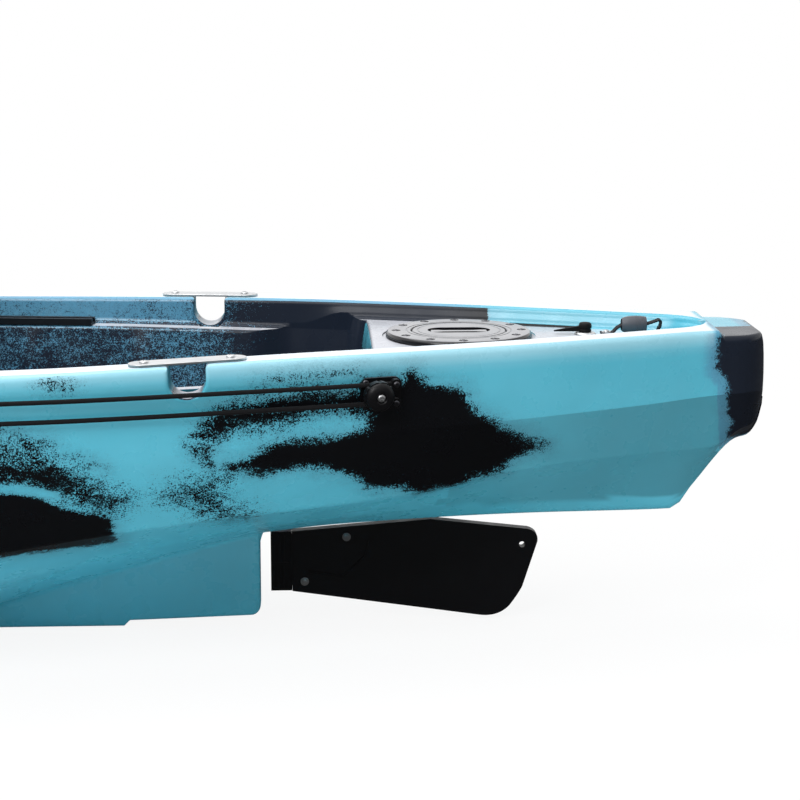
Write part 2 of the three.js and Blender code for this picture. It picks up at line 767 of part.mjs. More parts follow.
// Strip of constant thickness that follows x-z points, as wide as given across y
function ribbon(points, thick, width) {
  const path = points.map(([x, z]) => new THREE.Vector2(x, z))
  const sides = [1, -1].map((side) => path.map((p, i) => {
    const next = path[Math.min(i + 1, path.length - 1)]
    const last = path[Math.max(i - 1, 0)]
    const run = next.clone().sub(last).normalize()
    return [p.x - side * run.y * thick / 2, p.y + side * run.x * thick / 2]
  }))
  return sideways(outline([...sides[0], ...sides[1].reverse()]), width)
}

// Carry handle: strap screwed down at both ends, through a barrel grip
const strapThick = 2.2
const strapWidth = 15
function carryHandle(name, holder) {
  const gripFrom = -17
  const gripTo = 18
  const gripZ = 13
  const bore = strapWidth / 2 + 0.8
  const grip = lathe([[bore, gripFrom], [11, gripFrom], [12.5, -4], [12, 8], [10, gripTo], [bore, gripTo],
    [bore, gripFrom]], 12).rotateY(Math.PI / 2).translate(0, 0, gripZ)
  add(`${name}_grip`, grip, greyRubber(), holder)
  const flat = strapThick / 2 + gap
  const strap = ribbon([[47, flat], [31, flat], [24, gripZ - 4], [gripTo, gripZ], [0, gripZ], [gripFrom, gripZ],
    [-30, gripZ + 5], [-38, gripZ + 8], [-37, gripZ - 2], [-33, flat + 3], [-38, flat], [-52, flat]], strapThick, strapWidth)
  const heads = [39, -46].flatMap((x) => [post(6.5, 1.2, 8), panHead(4.2, 2.8).translate(0, 0, 0.8)]
    .map((piece) => piece.translate(x, 0, strapThick)))
  add(`${name}_strap`, join(strap, ...heads), webbing(), holder)
}
const sternHandleAt = 183
carryHandle('stern_handle', holderAt(sternHandleAt, 0, platformZ + platformCrown))
const bowHandle = [3390, 3500].map((s) => new THREE.Vector3(s - 3600 + length, 0, sheerLine(s - 3600 + length)))
const bowHolder = along(...bowHandle)
bowHolder.translateZ(1)
carryHandle('bow_handle', bowHolder)

// Drain plug with its moulded tongue, in a flanged seat
function drainPlug() {
  const holder = holderAt(262, 0, platformZ + platformCrown)
  const seat = lathe([[8.4, 0], [15, 0], [15, 1.6], [13, 3], [8.4, 3], [8.4, 0]], 12)
  add('drain_plug_seat', seat.translate(-10, 0, gap), blackPlastic(), holder)
  const cap = lathe([[0, 0.5], [8, 0.5], [8, 4], [9, 5], [9, 14], [7, 16], [0, 16.5]], 12).translate(-10, 0, gap)
  const tongue = sideways(outline([[-8, 4], [34, 4], [34, 5.5], [-8, 13]]), 7)
  add('drain_plug', join(cap, tongue), blackRubber(), holder)
}
drainPlug()

// Front hatch: lid on a hinge pin, seal, and two turn latches on the deck
function frontHatch() {
  const holder = holderAt(hatchFrom, 0, bowDeckHeight)
  const seal = cut(plate(hatchShape(10), sealThick, 3), plate(hatchShape(2), 40, 3).translate(0, 0, -10))
  add('hatch_seal', seal.translate(0, 0, gap), blackRubber(), holder)
  const lidZ = sealThick + 2 * gap
  const flangeThick = 8
  const hingeX = hingeAt - hatchFrom
  const pinZ = hingeZ - bowDeckHeight
  const knuckleRadius = 7
  const knuckleWidth = 2 * lugSpread - 13
  const knuckle = rodY(knuckleRadius, -knuckleWidth / 2, knuckleWidth / 2, 12).translate(hingeX, 0, pinZ)
  const bridge = box(hingeX - hatchLength, knuckleWidth, 6, (hingeX + hatchLength) / 2, 0, lidZ + 4.2)
  const flange = plate(hatchShape(lidOverlap), flangeThick, 3).translate(0, 0, lidZ)
  const dome = plate(hatchShape(4), lidHeight, 3).translate(0, 0, lidZ)
  const under = plate(hatchShape(-2), lidHeight - 5, 3).translate(0, 0, lidZ - 1)
  const pinHole = rodY(hingePinRadius + gap, -90, 90, 10).translate(hingeX, 0, pinZ)
  add('hatch_lid', cut(join(flange, dome, bridge, knuckle), under, pinHole), turquoise(), holder)
  const pinReach = lugSpread + 8
  const pin = rodY(hingePinRadius, -pinReach, pinReach, 10).translate(hingeX, 0, pinZ)
  add('hatch_pin', pin, stainless(), holder)
  const armLength = 22
  for (const [side, name] of [[1, 'port'], [-1, 'starboard']]) {
    const boss = post(9, lidZ + flangeThick + gap, 16)
    const arm = plate(slotShape(armLength + 14, 14), 6, 5).translate(armLength / 2, 0, lidZ + flangeThick + gap)
    const latch = join(boss, arm).rotateZ(-side * Math.PI / 2).translate(-lidOverlap - 14, side * 90, gap)
    add(`hatch_latch_${name}`, latch, blackPlastic(), holder)
  }
}
frontHatch()

// Crowned cushion with drawn-in sides and a flat underside, length along x and width along y
function cushion(sizeX, sizeY, thick, crown) {
  const cells = 8
  const rings = []
  for (let i = 0; i <= cells; i += 1) {
    const u = -Math.cos(Math.PI * i / cells)
    const ring = []
    for (let j = 0; j < 2 * cells; j += 1) {
      const turn = Math.PI * j / cells
      const [c, n] = [Math.cos(turn), Math.sin(turn)]
      const v = Math.sign(c) * Math.abs(c) ** (n < 0 ? 0.2 : 0.35)
      const plan = 1 - 0.04 * Math.abs(u) ** 8
      const edge = (1 - Math.abs(u) ** 6) * (1 - 0.25 * Math.abs(u) ** 2 * v * v)
      const upper = n ** 0.55 * (thick / 2 + crown * (1 - u * u) * (1 - v * v)) * Math.max(0.35, edge)
      const lower = -Math.min(1, 1.2 * Math.abs(n) ** 0.4) * (1 - 0.5 * Math.abs(u) ** 20) * thick / 2
      ring.push(new THREE.Vector3(u * sizeX / 2, v * plan * sizeY / 2, thick / 2 + (n > 0 ? upper : lower)))
    }
    rings.push(ring)
  }
  return loft(rings)
}

// Frame seat: tube frame on the moulded shelves, hinged backrest, mesh cushions
const seatPivotRise = 105
const backFoot = 14
const backFrom = 70
function seat() {
  const holder = holderAt(seatFrom, 0, seatShelf + gap)
  const halfX = seatLength / 2
  const halfY = seatWidth / 2
  const lugThick = 6
  const pinRadius = 4
  const pivotX = 16
  const loop = cut(plate(roundedShape(halfX, halfY, 40), seatTube, 3),
    plate(roundedShape(halfX - seatTube, halfY - seatTube, 22), 2 * seatTube, 3).translate(0, 0, -10))
  const lug = (side) => {
    const shape = new THREE.Shape()
    shape.moveTo(pivotX - 12, seatTube / 2)
    shape.lineTo(pivotX + 40, seatTube / 2)
    shape.lineTo(pivotX + 12, seatPivotRise)
    shape.absarc(pivotX, seatPivotRise, 12, 0, Math.PI)
    shape.closePath()
    return sideways(shape, lugThick, 4).translate(0, side * (halfY - lugThick / 2), 0)
  }
  const pinHole = rodY(pinRadius + gap, -300, 300, 12).translate(pivotX, 0, seatPivotRise)
  const crossBar = box(seatTube, seatWidth - seatTube, 12, halfX, 0, 6)
  add('seat_frame', cut(join(loop.translate(halfX, 0, 0), crossBar, lug(1), lug(-1)), pinHole), aluminium(), holder)
  const padX = seatLength - 30
  const padSide = 8
  const pad = cushion(padX, seatWidth - 2 * padSide, cushionThick, 10)
  add('seat_cushion', pad.translate(halfX + 16, 0, seatTube + gap), meshCloth(), holder)
  const pivotLength = 24
  const pivots = [-1, 1].map((side) => rodY(pinRadius, -pivotLength / 2, pivotLength / 2, 12)
    .translate(0, side * (halfY + 2 - pivotLength / 2), 0))
  const back = holderAt(pivotX, 0, seatPivotRise, holder)
  back.rotation.y = -THREE.MathUtils.degToRad(backLean)
  const backHalf = halfY - lugThick - 1
  const shape = roundedShape((backHeight + backFoot) / 2, backHalf, 40)
  const hole = roundedShape((backHeight + backFoot) / 2 - seatTube, backHalf - seatTube, 22)
  const upright = (outlineShape, thick) => plate(outlineShape, thick, 4).translate(0, 0, -thick / 2)
    .rotateY(-Math.PI / 2).translate(0, 0, (backHeight - backFoot) / 2)
  const frame = join(cut(upright(shape, seatTube), upright(hole, 2 * seatTube)), ...pivots)
  add('backrest_frame', frame, aluminium(), back)
  const rest = cushion(backHeight - backFrom - 8, seatWidth - 2 * padSide, 26, 8).rotateY(Math.PI / 2)
  add('backrest_cushion', rest.translate(seatTube / 2 + gap, 0, (backHeight + backFrom) / 2 - 4), meshCloth(), back)
}
seat()

// Flush rod holders
function rodHolders() {
  const bore = rodTubeRadius - 2.5
  for (const [side, name] of [[1, 'port'], [-1, 'starboard']]) {
    const tube = raked(post(rodTubeRadius, rodTubeLength, 14).translate(0, 0, 14 - rodTubeLength), side)
    const hole = raked(post(bore, rodTubeLength + 30, 14).translate(0, 0, 19 - rodTubeLength), side)
    const collar = plate(slotShape(92, 76), 4, 5).translate(rodHolderAt, side * rodHolderSide, ledgeZ + gap)
    const above = box(140, 140, 400, rodHolderAt, side * rodHolderSide, ledgeZ + gap + 4 - 200)
    add(`rod_holder_${name}`, cut(keep(join(tube, collar), above), hole), blackPlastic())
  }
}
rodHolders()

// Rudder under the hull: ribbed head on a stock, blade bolted over a tang, bushes and tiller
function rudder() {
  const holder = holderAt(rudderAxis, 0, 0)
  const headTop = 133
  const headFore = 14
  const headAft = -16
  const headHalf = 8
  const ribs = []
  for (const x of [-12, -4, 4, 10]) ribs.push(box(3, 2 * headHalf + 3, headTop - stockBottom - 6, x, 0, (headTop + stockBottom) / 2))
  const head = box(headFore - headAft, 2 * headHalf, headTop - stockBottom, (headFore + headAft) / 2, 0,
    (headTop + stockBottom) / 2)
  const tangShape = outline([[headAft + 2, stockBottom + 6], [-50, stockBottom + 4], [-112, headTop - 14],
    [-108, headTop + 2], [headAft + 2, headTop - 6]])
  const tang = sideways(tangShape, tangThick)
  const stockTop = tubeTop + 3.6 + tillerHeight
  const boltPlaces = [[-34, 59], [-94, 124]]
  const holes = (radius) => boltPlaces.map(([x, z]) => rodY(radius, -20, 20, 10).translate(x, 0, z))
  const stock = cut(join(head, ...ribs, tang, post(stockRadius, stockTop - 60, 12).translate(0, 0, 60)), ...holes(3.3))
  add('rudder_stock', stock, blackPlastic(), holder)
  const fore = headAft - gap
  const blade = new THREE.Shape()
  blade.moveTo(fore, stockBottom - 1)
  blade.lineTo(-284, 6)
  blade.quadraticCurveTo(-312, 2, -328, 20)
  blade.quadraticCurveTo(-340, 36, -346, 48)
  blade.lineTo(-367, 114)
  blade.quadraticCurveTo(-369, 129, -353, 133)
  blade.lineTo(-213, 149)
  blade.lineTo(fore, headTop)
  blade.closePath()
  const pocket = sideways(outline([[10, stockBottom + 1], [-52, stockBottom], [-118, headTop - 18],
    [-114, headTop + 5], [-60, headTop + 0.5], [10, headTop - 3]]), tangThick + 2 * gap)
  const body = cut(sideways(blade, bladeThick, 5), pocket, ...holes(3.3), rodY(3, -20, 20, 8).translate(-345, 0, 110))
  add('rudder_blade', body, blackPlastic(), holder)
  boltPlaces.forEach(([x, z], i) => {
    const face = bladeThick / 2 + gap
    const ends = [1, -1].map((side) => {
      const cap = join(post(6, 1.2, 10), panHead(4.2, 3.6).translate(0, 0, 1))
      return cap.rotateX(-side * Math.PI / 2).translate(0, side * face, 0)
    })
    const bolt = join(rodY(2.9, -face - 1, face + 1, 8), ...ends)
    add(`rudder_bolt_${['fore', 'aft'][i]}`, bolt.translate(x, 0, z), stainless(), holder)
  })
  const bushSides = 12
  const inner = (stockRadius + gap) / Math.cos(Math.PI / bushSides)
  const bottom = bushSeatZ - gap
  add('rudder_bush_lower', lathe([[inner, bottom - 3], [bushFlange, bottom - 3], [bushFlange, bottom], [bushRadius, bottom],
    [bushRadius, bottom + 26], [inner, bottom + 26], [inner, bottom - 3]], bushSides), greyRubber(), holder)
  add('rudder_bush_upper', lathe([[inner, tubeTop - 26], [bushRadius, tubeTop - 26], [bushRadius, tubeTop + gap],
    [bushFlange, tubeTop + gap], [bushFlange, tubeTop + 3], [inner, tubeTop + 3], [inner, tubeTop - 26]], bushSides), greyRubber(), holder)
  const tillerReach = 62
  const yoke = cut(join(plate(slotShape(2 * tillerReach + 20, 20), 7, 6).rotateZ(Math.PI / 2), post(16, tillerHeight - 2, 12)),
    post(inner, 60, 12).translate(0, 0, -10), post(3.2, 40, 8).translate(0, tillerReach, -10),
    post(3.2, 40, 8).translate(0, -tillerReach, -10))
  add('rudder_tiller', yoke.translate(0, 0, tubeTop + 3 + gap), blackAlloy(), holder)
}
rudder()

// Steering lever on the port ledge beside the seat
function steering() {
  const at = 2020
  const holder = holderAt(at, insideRim(at) - ledgeInboard, ledgeZ + gap)
  const foot = join(plate(slotShape(66, 24), 8, 6), post(5.5, 26, 14))
  add('steering_bracket', foot, blackPlastic(), holder)
  const reach = 110
  const hub = join(post(13, 12, 14), plate(slotShape(reach + 16, 14), 7, 6).translate(reach / 2, 0, 2),
    lathe([[0, 0], [10, 0], [12, 8], [10, 20], [0, 24]], 12).translate(reach, 0, 4))
  const lever = cut(hub, post(5.8, 40, 12).translate(0, 0, -5)).rotateZ(-Math.PI / 2)
  add('steering_handle', lever.translate(0, 0, 8 + gap), blackPlastic(), holder)
}
steering()

// Straight bevel gear with its apex at the origin and its body up the z axis
function bevelGear(teeth, mate, face, bore, offset = 0) {
  const radius = gearModule * teeth / 2
  const height = gearModule * mate / 2
  const cone = Math.hypot(radius, height)
  const [sin, cos] = [radius / cone, height / cone]
  const addendum = 0.75 * gearModule
  const dedendum = 0.95 * gearModule
  const pitch = 2 * Math.PI / teeth
  const flank = Math.tan(THREE.MathUtils.degToRad(21)) / radius
  const backlash = 0.13 * gearModule / radius
  const tip = [radius + addendum * cos, height - addendum * sin, pitch / 4 - backlash - addendum * flank]
  const root = [radius - dedendum * cos, height + dedendum * sin, pitch / 4 - backlash + dedendum * flank]
  const small = (cone - face) / cone
  const positions = []
  const ring = (scale) => {
    for (let i = 0; i < teeth; i += 1) {
      const middle = i * pitch + offset
      for (const [side, [r, z, half]] of [[-1, root], [-1, tip], [1, tip], [1, root]]) {
        const turn = middle + side * half
        positions.push(scale * r * Math.cos(turn), scale * r * Math.sin(turn), scale * z)
      }
    }
  }
  const boreRing = (z) => {
    for (let i = 0; i < teeth; i += 1) {
      const turn = i * pitch + offset
      positions.push(bore * Math.cos(turn), bore * Math.sin(turn), z)
    }
  }
  ring(1)
  ring(small)
  boreRing(root[1] + 3)
  boreRing(small * tip[1])
  const count = 4 * teeth
  const [back, front] = [2 * count, 2 * count + teeth]
  const index = []
  for (let k = 0; k < count; k += 1) {
    const next = (k + 1) % count
    index.push(k, next, count + next, k, count + next, count + k)
  }
  for (let i = 0; i < teeth; i += 1) {
    const next = (i + 1) % teeth
    const last = 4 * i + 3
    const first = 4 * next
    for (let k = 0; k < 3; k += 1) {
      index.push(back + i, 4 * i + k + 1, 4 * i + k)
      index.push(front + i, count + 4 * i + k, count + 4 * i + k + 1)
    }
    index.push(back + i, first, last, back + i, back + next, first)
    index.push(front + i, count + last, count + first, front + i, count + first, front + next)
    index.push(back + i, front + i, front + next, back + i, front + next, back + next)
  }
  const geometry = new THREE.BufferGeometry()
  geometry.setAttribute('position', new THREE.Float32BufferAttribute(positions, 3))
  geometry.setIndex(volume(positions, index) < 0 ? index.reverse() : index)
  return geometry
}

// Turns a gear so that its z axis is the given axis and its first tooth faces the mate
function aimed(geometry, axis, mate) {
  const basis = new THREE.Matrix4().makeBasis(mate, axis.clone().cross(mate), axis)
  return geometry.applyMatrix4(basis)
}

// Propeller drive, raised so that the leg lies level above the footwell
const drive = holderAt(pivotAt, 0, pivotHeight)
const unit = holderAt(0, 0, 0, drive)
unit.rotation.y = Math.PI / 2
const legX = -legOffset
const propZ = -propDepth
const neckHeight = 44
const shellHalf = 30
const shellRadius = 47
const shellWall = 8
const shellDrop = 96
const pinRadius = 6
const armHalf = 22
const podRadius = 34
const podWall = 4

function legSection(grow = 0) {
  const shape = new THREE.Shape()
  shape.absellipse(0, 0, 28 + grow, 15 + grow, 0, 2 * Math.PI)
  return shape
}

function legPiece(from, to, grow = 0) {
  return plate(legSection(grow), to - from, 6).translate(legX, 0, from)
}

function shellShape(radius, halfNeck, drop) {
  const shape = new THREE.Shape()
  shape.moveTo(legX - halfNeck, crankHeight - drop)
  shape.lineTo(legX + halfNeck, crankHeight - drop)
  shape.absarc(legX, crankHeight, radius, -0.28 * Math.PI, 1.28 * Math.PI)
  shape.closePath()
  return shape
}

function driveShells() {
  const solid = sideways(shellShape(shellRadius, 34, shellDrop), 2 * shellHalf, 8)
  const cavity = sideways(shellShape(shellRadius - shellWall, 20, 52), 2 * (shellHalf - shellWall), 8)
  const whole = cut(solid, cavity, legPiece(0, crankHeight - 50, gap),
    rodY(8 + gap, -60, 60, 16).translate(legX, 0, crankHeight))
  for (const [side, name] of [[1, 'port'], [-1, 'starboard']]) {
    const half = box(400, 100, 400, legX, side * (50 + gap / 2), crankHeight)
    add(`drive_shell_${name}`, keep(whole, half), blackPlastic(), unit)
  }
}

function driveFrame() {
  const legTop = crankHeight - 54
  const legBottom = propZ + neckHeight + gap
  const bore = shaftRadius + 2
  const tube = cut(legPiece(legBottom, legTop), post(bore, 900, 14).translate(legX, 0, -450))
  add('drive_leg', tube, aluminium(), unit)
  const shape = new THREE.Shape()
  shape.moveTo(legX - 37, -17)
  shape.lineTo(0, -17)
  shape.absarc(0, 0, 17, -Math.PI / 2, Math.PI / 2)
  shape.lineTo(legX + 30, 26)
  shape.lineTo(legX - 37, 26)
  shape.closePath()
  const pinHole = rodY(pinRadius + gap, -60, 60, 12)
  const arm = cut(sideways(shape, 2 * armHalf, 6), legPiece(-60, 60, gap), pinHole)
  add('drive_arm', arm, blackAlloy(), unit)
  const pin = rodY(pinRadius, -armHalf - 14, armHalf + 14, 10)
  const cheekThick = 8
  const cheek = new THREE.Shape()
  const baseZ = footwellFloor + gap - pivotHeight
  cheek.moveTo(-40, baseZ)
  cheek.lineTo(46, baseZ)
  cheek.lineTo(18, 6)
  cheek.absarc(0, 0, 18, 0.1 * Math.PI, 0.9 * Math.PI)
  cheek.closePath()
  const cheeks = [1, -1].map((side) => sideways(cheek, cheekThick, 6)
    .translate(0, side * (armHalf + 2 * gap + cheekThick / 2), 0))
  const base = plate(roundedShape(44, 62, 12), 6, 4).translate(4, 0, baseZ)
  add('drive_dock', join(...cheeks, base, pin), aluminium(), drive)
}

function drivePod() {
  const front = [[0, 74], [14, 70], [26, 54], [podRadius, 26]]
  const outer = lathe([...front, [podRadius, -28], [22, -66], [0, -66]], 14).rotateY(Math.PI / 2)
  const inner = podRadius - podWall
  const cavity = lathe([[0, 40], [18, 36], [inner, 24], [inner, -26], [18, -50], [0, -50]], 12).rotateY(Math.PI / 2)
  const neck = plate(legSection(0), neckHeight, 6)
  const shaftHole = rodX(shaftRadius + 2 * gap, -90, 0, 14)
  const pod = cut(join(outer, neck), cavity, post(shaftRadius + 2 * gap, 80, 14), shaftHole)
  add('drive_pod', pod.translate(legX, 0, propZ), blackAlloy(), unit)
}

function cranks() {
  const shaft = rodY(8, -shellHalf - 15, shellHalf + 15, 16)
  add('crank_shaft', shaft.translate(legX, 0, crankHeight), stainless(), unit)
  const armThick = 10
  const armFrom = shellHalf + 4
  const tread = 92
  for (const [side, name] of [[1, 'port'], [-1, 'starboard']]) {
    const bar = sideways(slotShape(crankLength + 30, 28), armThick, 6).rotateY(-Math.PI / 2)
      .translate(0, side * (armFrom + armThick / 2), side * crankLength / 2)
    const spindle = rodY(6, 0, tread + armThick, 12).rotateZ(side > 0 ? 0 : Math.PI)
      .translate(0, side * (armFrom + armThick / 2), side * crankLength)
    const arm = cut(join(bar, spindle), rodY(8 + gap, -60, 60, 16))
    add(`crank_arm_${name}`, arm.translate(legX, 0, crankHeight), aluminium(), unit)
    const body = box(20, tread, 88)
    const windows = [-1, 1].map((end) => box(40, tread - 24, 22, 0, 0, end * 24))
    const pedal = cut(body, ...windows, rodY(6 + gap, -80, 80, 12))
    const middle = armFrom + armThick + 1 + tread / 2
    add(`pedal_${name}`, pedal.translate(legX, side * middle, crankHeight + side * crankLength), blackPlastic(), unit)
  }
}

function gears() {
  const up = new THREE.Vector3(0, 0, 1)
  const port = new THREE.Vector3(0, 1, 0)
  const aft = new THREE.Vector3(-1, 0, 0)
  const down = up.clone().negate()
  const half = (teeth) => Math.PI / teeth
  const atCrank = (geometry) => geometry.translate(legX, 0, crankHeight)
  const atPod = (geometry) => geometry.translate(legX, 0, propZ)
  const bore = shaftRadius - 0.5 + gap
  add('crank_gear', atCrank(aimed(bevelGear(crankTeeth, legTeeth, gearFace, 8 + gap), port, down)), stainless(), unit)
  add('leg_gear', atCrank(aimed(bevelGear(legTeeth, crankTeeth, gearFace, bore, half(legTeeth)), down, port)),
    stainless(), unit)
  add('lower_gear', atPod(aimed(bevelGear(lowerTeeth, propTeeth, gearFace - 2, bore), up, aft)), stainless(), unit)
  const shaftTo = crankHeight - 26
  const shaft = post(shaftRadius - 0.5, shaftTo - propZ - 7, 14)
  add('leg_shaft', shaft.translate(legX, 0, propZ + 7), stainless(), unit)
  const pinion = aimed(bevelGear(propTeeth, lowerTeeth, gearFace - 2, bore - 1.5, half(propTeeth)), aft, up)
  add('prop_shaft', atPod(join(pinion, rodX(shaftRadius - 0.5, -112, -16, 14))), stainless(), unit)
}

// Two-blade propeller with twisted blades on a tapered hub
function propeller() {
  const hubFore = -67
  const hubAft = -102
  const hub = lathe([[shaftRadius - 0.5 + gap, hubFore], [21, hubFore], [17, hubAft], [shaftRadius - 0.5 + gap, hubAft],
    [shaftRadius - 0.5 + gap, hubFore]], 12).rotateY(Math.PI / 2)
  const blades = [0, Math.PI].map((turn) => {
    const rings = []
    const cuts = 5
    for (let i = 0; i <= cuts; i += 1) {
      const t = i / cuts
      const r = 13 + (propRadius - 13) * t
      const chord = 22 + 26 * Math.sin(Math.PI * Math.min(1, 0.15 + 0.8 * t)) * (1 - 0.35 * t)
      const pitch = Math.atan2(150, 2 * Math.PI * (r + 12))
      const ring = []
      for (let j = 0; j < 8; j += 1) {
        const around = 2 * Math.PI * j / 8
        const along = chord / 2 * Math.cos(around)
        const out = (3.4 - 2 * t) * Math.sin(around)
        ring.push(new THREE.Vector3(along * Math.sin(pitch) + out * Math.cos(pitch),
          along * Math.cos(pitch) - out * Math.sin(pitch), r))
      }
      rings.push(ring)
    }
    return loft(rings).translate((hubFore + hubAft) / 2, 0, 0).rotateX(turn)
  })
  const cone = lathe([[0, hubAft - 24], [8, hubAft - 18], [16, hubAft + 1], [0, hubAft + 1]], 12).rotateY(Math.PI / 2)
  const socket = rodX(shaftRadius - 0.5 + 2 * gap, hubAft - 11, hubFore + 10, 12)
  add('propeller', cut(join(hub, ...blades, cone), socket).translate(legX, 0, propZ), blackPlastic(), unit)
}
driveShells()
driveFrame()
drivePod()
cranks()
gears()
propeller()

export default kayak
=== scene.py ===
# Sit-on-top pedal kayak: the looks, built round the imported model. Sizes are in millimetres from the
# stern end (s forward, y to port, z up) until a piece is placed; then metres in the model's frame.
import math
import bmesh
import bpy
import numpy as np
from mathutils import Matrix, Vector


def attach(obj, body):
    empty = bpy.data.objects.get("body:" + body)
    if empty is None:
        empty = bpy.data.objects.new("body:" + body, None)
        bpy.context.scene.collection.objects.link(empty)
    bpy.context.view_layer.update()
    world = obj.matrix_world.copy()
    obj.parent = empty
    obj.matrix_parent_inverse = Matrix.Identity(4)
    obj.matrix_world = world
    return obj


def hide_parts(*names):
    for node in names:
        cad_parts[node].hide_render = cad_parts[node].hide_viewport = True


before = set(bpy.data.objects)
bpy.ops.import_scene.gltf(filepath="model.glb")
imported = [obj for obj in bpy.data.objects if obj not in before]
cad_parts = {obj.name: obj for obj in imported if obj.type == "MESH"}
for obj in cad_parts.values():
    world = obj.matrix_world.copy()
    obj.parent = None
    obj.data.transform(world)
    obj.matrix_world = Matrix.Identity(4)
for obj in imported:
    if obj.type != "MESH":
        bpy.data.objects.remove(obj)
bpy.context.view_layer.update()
scene = bpy.context.scene
hullLength = 3600.0
toWorld = Matrix.Scale(0.001, 4) @ Matrix.Translation((-hullLength / 2, 0, 0))
bothSides = ((1, "port"), (-1, "starboard"))
print("stage 1: frame loaded")


# Making meshes: a solid is a pair of a point array and a list of faces
def solid(points, faces):
    return np.array(points, float).reshape(-1, 3), [list(face) for face in faces]


def moved(piece, matrix):
    points, faces = piece
    m = np.array(matrix)
    return points @ m[:3, :3].T + m[:3, 3], faces


def at(s, y=0.0, z=0.0):
    return Matrix.Translation((s, y, z))


def turned(degrees, axis):
    return Matrix.Rotation(math.radians(degrees), 4, axis)


def skin(rings, closed=False):
    count = len(rings[0])
    rings = [np.asarray(ring, float) for ring in rings]
    faces = []
    steps = len(rings) if closed else len(rings) - 1
    for i in range(steps):
        a, b = i * count, ((i + 1) % len(rings)) * count
        for j in range(count):
            k = (j + 1) % count
            faces.append([a + j, a + k, b + k, b + j])
    if not closed:
        faces.append(list(range(count))[::-1])
        faces.append(list(range((len(rings) - 1) * count, len(rings) * count)))
    return np.vstack(rings), faces


def lathe(profile, segments=64):
    turns = np.linspace(0, 2 * math.pi, segments, endpoint=False)
    points, rows = [], []
    for r, z in profile:
        if r < 1e-6:
            rows.append([len(points)] * segments)
            points.append((0, 0, z))
        else:
            rows.append(list(range(len(points), len(points) + segments)))
            points += [(r * math.cos(t), r * math.sin(t), z) for t in turns]
    faces = []
    onAxis = profile[0][0] < 1e-6 and profile[-1][0] < 1e-6
    for i in range(len(rows) - (1 if onAxis else 0)):
        low, high = rows[i], rows[(i + 1) % len(rows)]
        for j in range(segments):
            k = (j + 1) % segments
            face = list(dict.fromkeys([low[j], low[k], high[k], high[j]]))
            if len(face) > 2:
                faces.append(face)
    return solid(points, faces)


def extruded(outline, z0, z1):
    n = len(outline)
    low = [(x, y, z0) for x, y in outline]
    high = [(x, y, z1) for x, y in outline]
    faces = [list(range(n))[::-1], list(range(n, 2 * n))]
    faces += [[i, (i + 1) % n, n + (i + 1) % n, n + i] for i in range(n)]
    return solid(low + high, faces)


def sideways(outline, width):
    return moved(extruded(outline, -width / 2, width / 2), turned(90, "X"))


def post(radius, z0, z1, segments=48):
    return lathe([(0, z0), (radius, z0), (radius, z1), (0, z1)], segments)


def rodY(radius, y0, y1, segments=40):
    return moved(post(radius, y0, y1, segments), turned(-90, "X"))


def rodX(radius, x0, x1, segments=40):
    return moved(post(radius, x0, x1, segments), turned(90, "Y"))


def block(x0, x1, y0, y1, z0, z1):
    return extruded([(x0, y0), (x1, y0), (x1, y1), (x0, y1)], z0, z1)


def arc(cx, cy, radius, a0, a1, steps=8):
    return [(cx + radius * math.cos(math.radians(a)), cy + radius * math.sin(math.radians(a)))
            for a in np.linspace(a0, a1, steps + 1)]


def slotOutline(total, width, steps=14):
    r, half = width / 2, total / 2 - width / 2
    return arc(half, 0, r, -90, 90, steps) + arc(-half, 0, r, 90, 270, steps)


def roundedOutline(halfX, halfY, radius, steps=8):
    x, y = halfX - radius, halfY - radius
    return (arc(x, y, radius, 0, 90, steps) + arc(-x, y, radius, 90, 180, steps)
            + arc(-x, -y, radius, 180, 270, steps) + arc(x, -y, radius, 270, 360, steps))


# Polyline with its corners rounded; each corner is (point, radius, steps)
def roundedLine(corners, closed=False):
    line = []
    n = len(corners)
    for k, (p, radius, steps) in enumerate(corners):
        p = np.array(p, float)
        if radius <= 0 or (not closed and k in (0, n - 1)):
            line.append(p)
            continue
        before = np.array(corners[k - 1][0], float) - p
        after = np.array(corners[(k + 1) % n][0], float) - p
        lb, la = np.linalg.norm(before), np.linalg.norm(after)
        if lb < 1e-6 or la < 1e-6:
            line += [p] * (steps + 1)
            continue
        ub, ua = before / lb, after / la
        turn = math.pi - math.acos(max(-1.0, min(1.0, float(ub @ ua))))
        reach = min(radius * math.tan(turn / 2), 0.46 * lb, 0.46 * la)
        a, b, w = p + ub * reach, p + ua * reach, math.cos(turn / 2)
        for t in np.linspace(0, 1, steps + 1):
            shares = np.array([(1 - t) ** 2, 2 * w * t * (1 - t), t * t])
            line.append((shares[0] * a + shares[1] * p + shares[2] * b) / shares.sum())
    return line


def tube(path, radius, sides=16, closed=False):
    path = np.array(path, float)
    n = len(path)
    rings = []
    side = None
    for i in range(n):
        ahead = path[(i + 1) % n] if closed or i + 1 < n else path[i]
        behind = path[i - 1] if closed or i > 0 else path[i]
        run = ahead - behind
        run /= np.linalg.norm(run)
        if side is None:
            side = np.cross(run, (0, 0, 1) if abs(run[2]) < 0.9 else (0, 1, 0))
        side = side - run * (side @ run)
        side /= np.linalg.norm(side)
        other = np.cross(run, side)
        r = radius[i] if np.ndim(radius) else radius
        rings.append([path[i] + r * (math.cos(a) * side + math.sin(a) * other)
                      for a in np.linspace(0, 2 * math.pi, sides, endpoint=False)])
    return skin(rings, closed)


# Matrix whose x runs from a to b and whose z leans upwards, centred between them
def along(a, b, upward=(0, 0, 1)):
    a, b = Vector(a), Vector(b)
    x = (b - a).normalized()
    y = Vector(upward).cross(x).normalized()
    z = x.cross(y)
    m = Matrix((x, y, z)).transposed().to_4x4()
    m.translation = (a + b) / 2
    return m


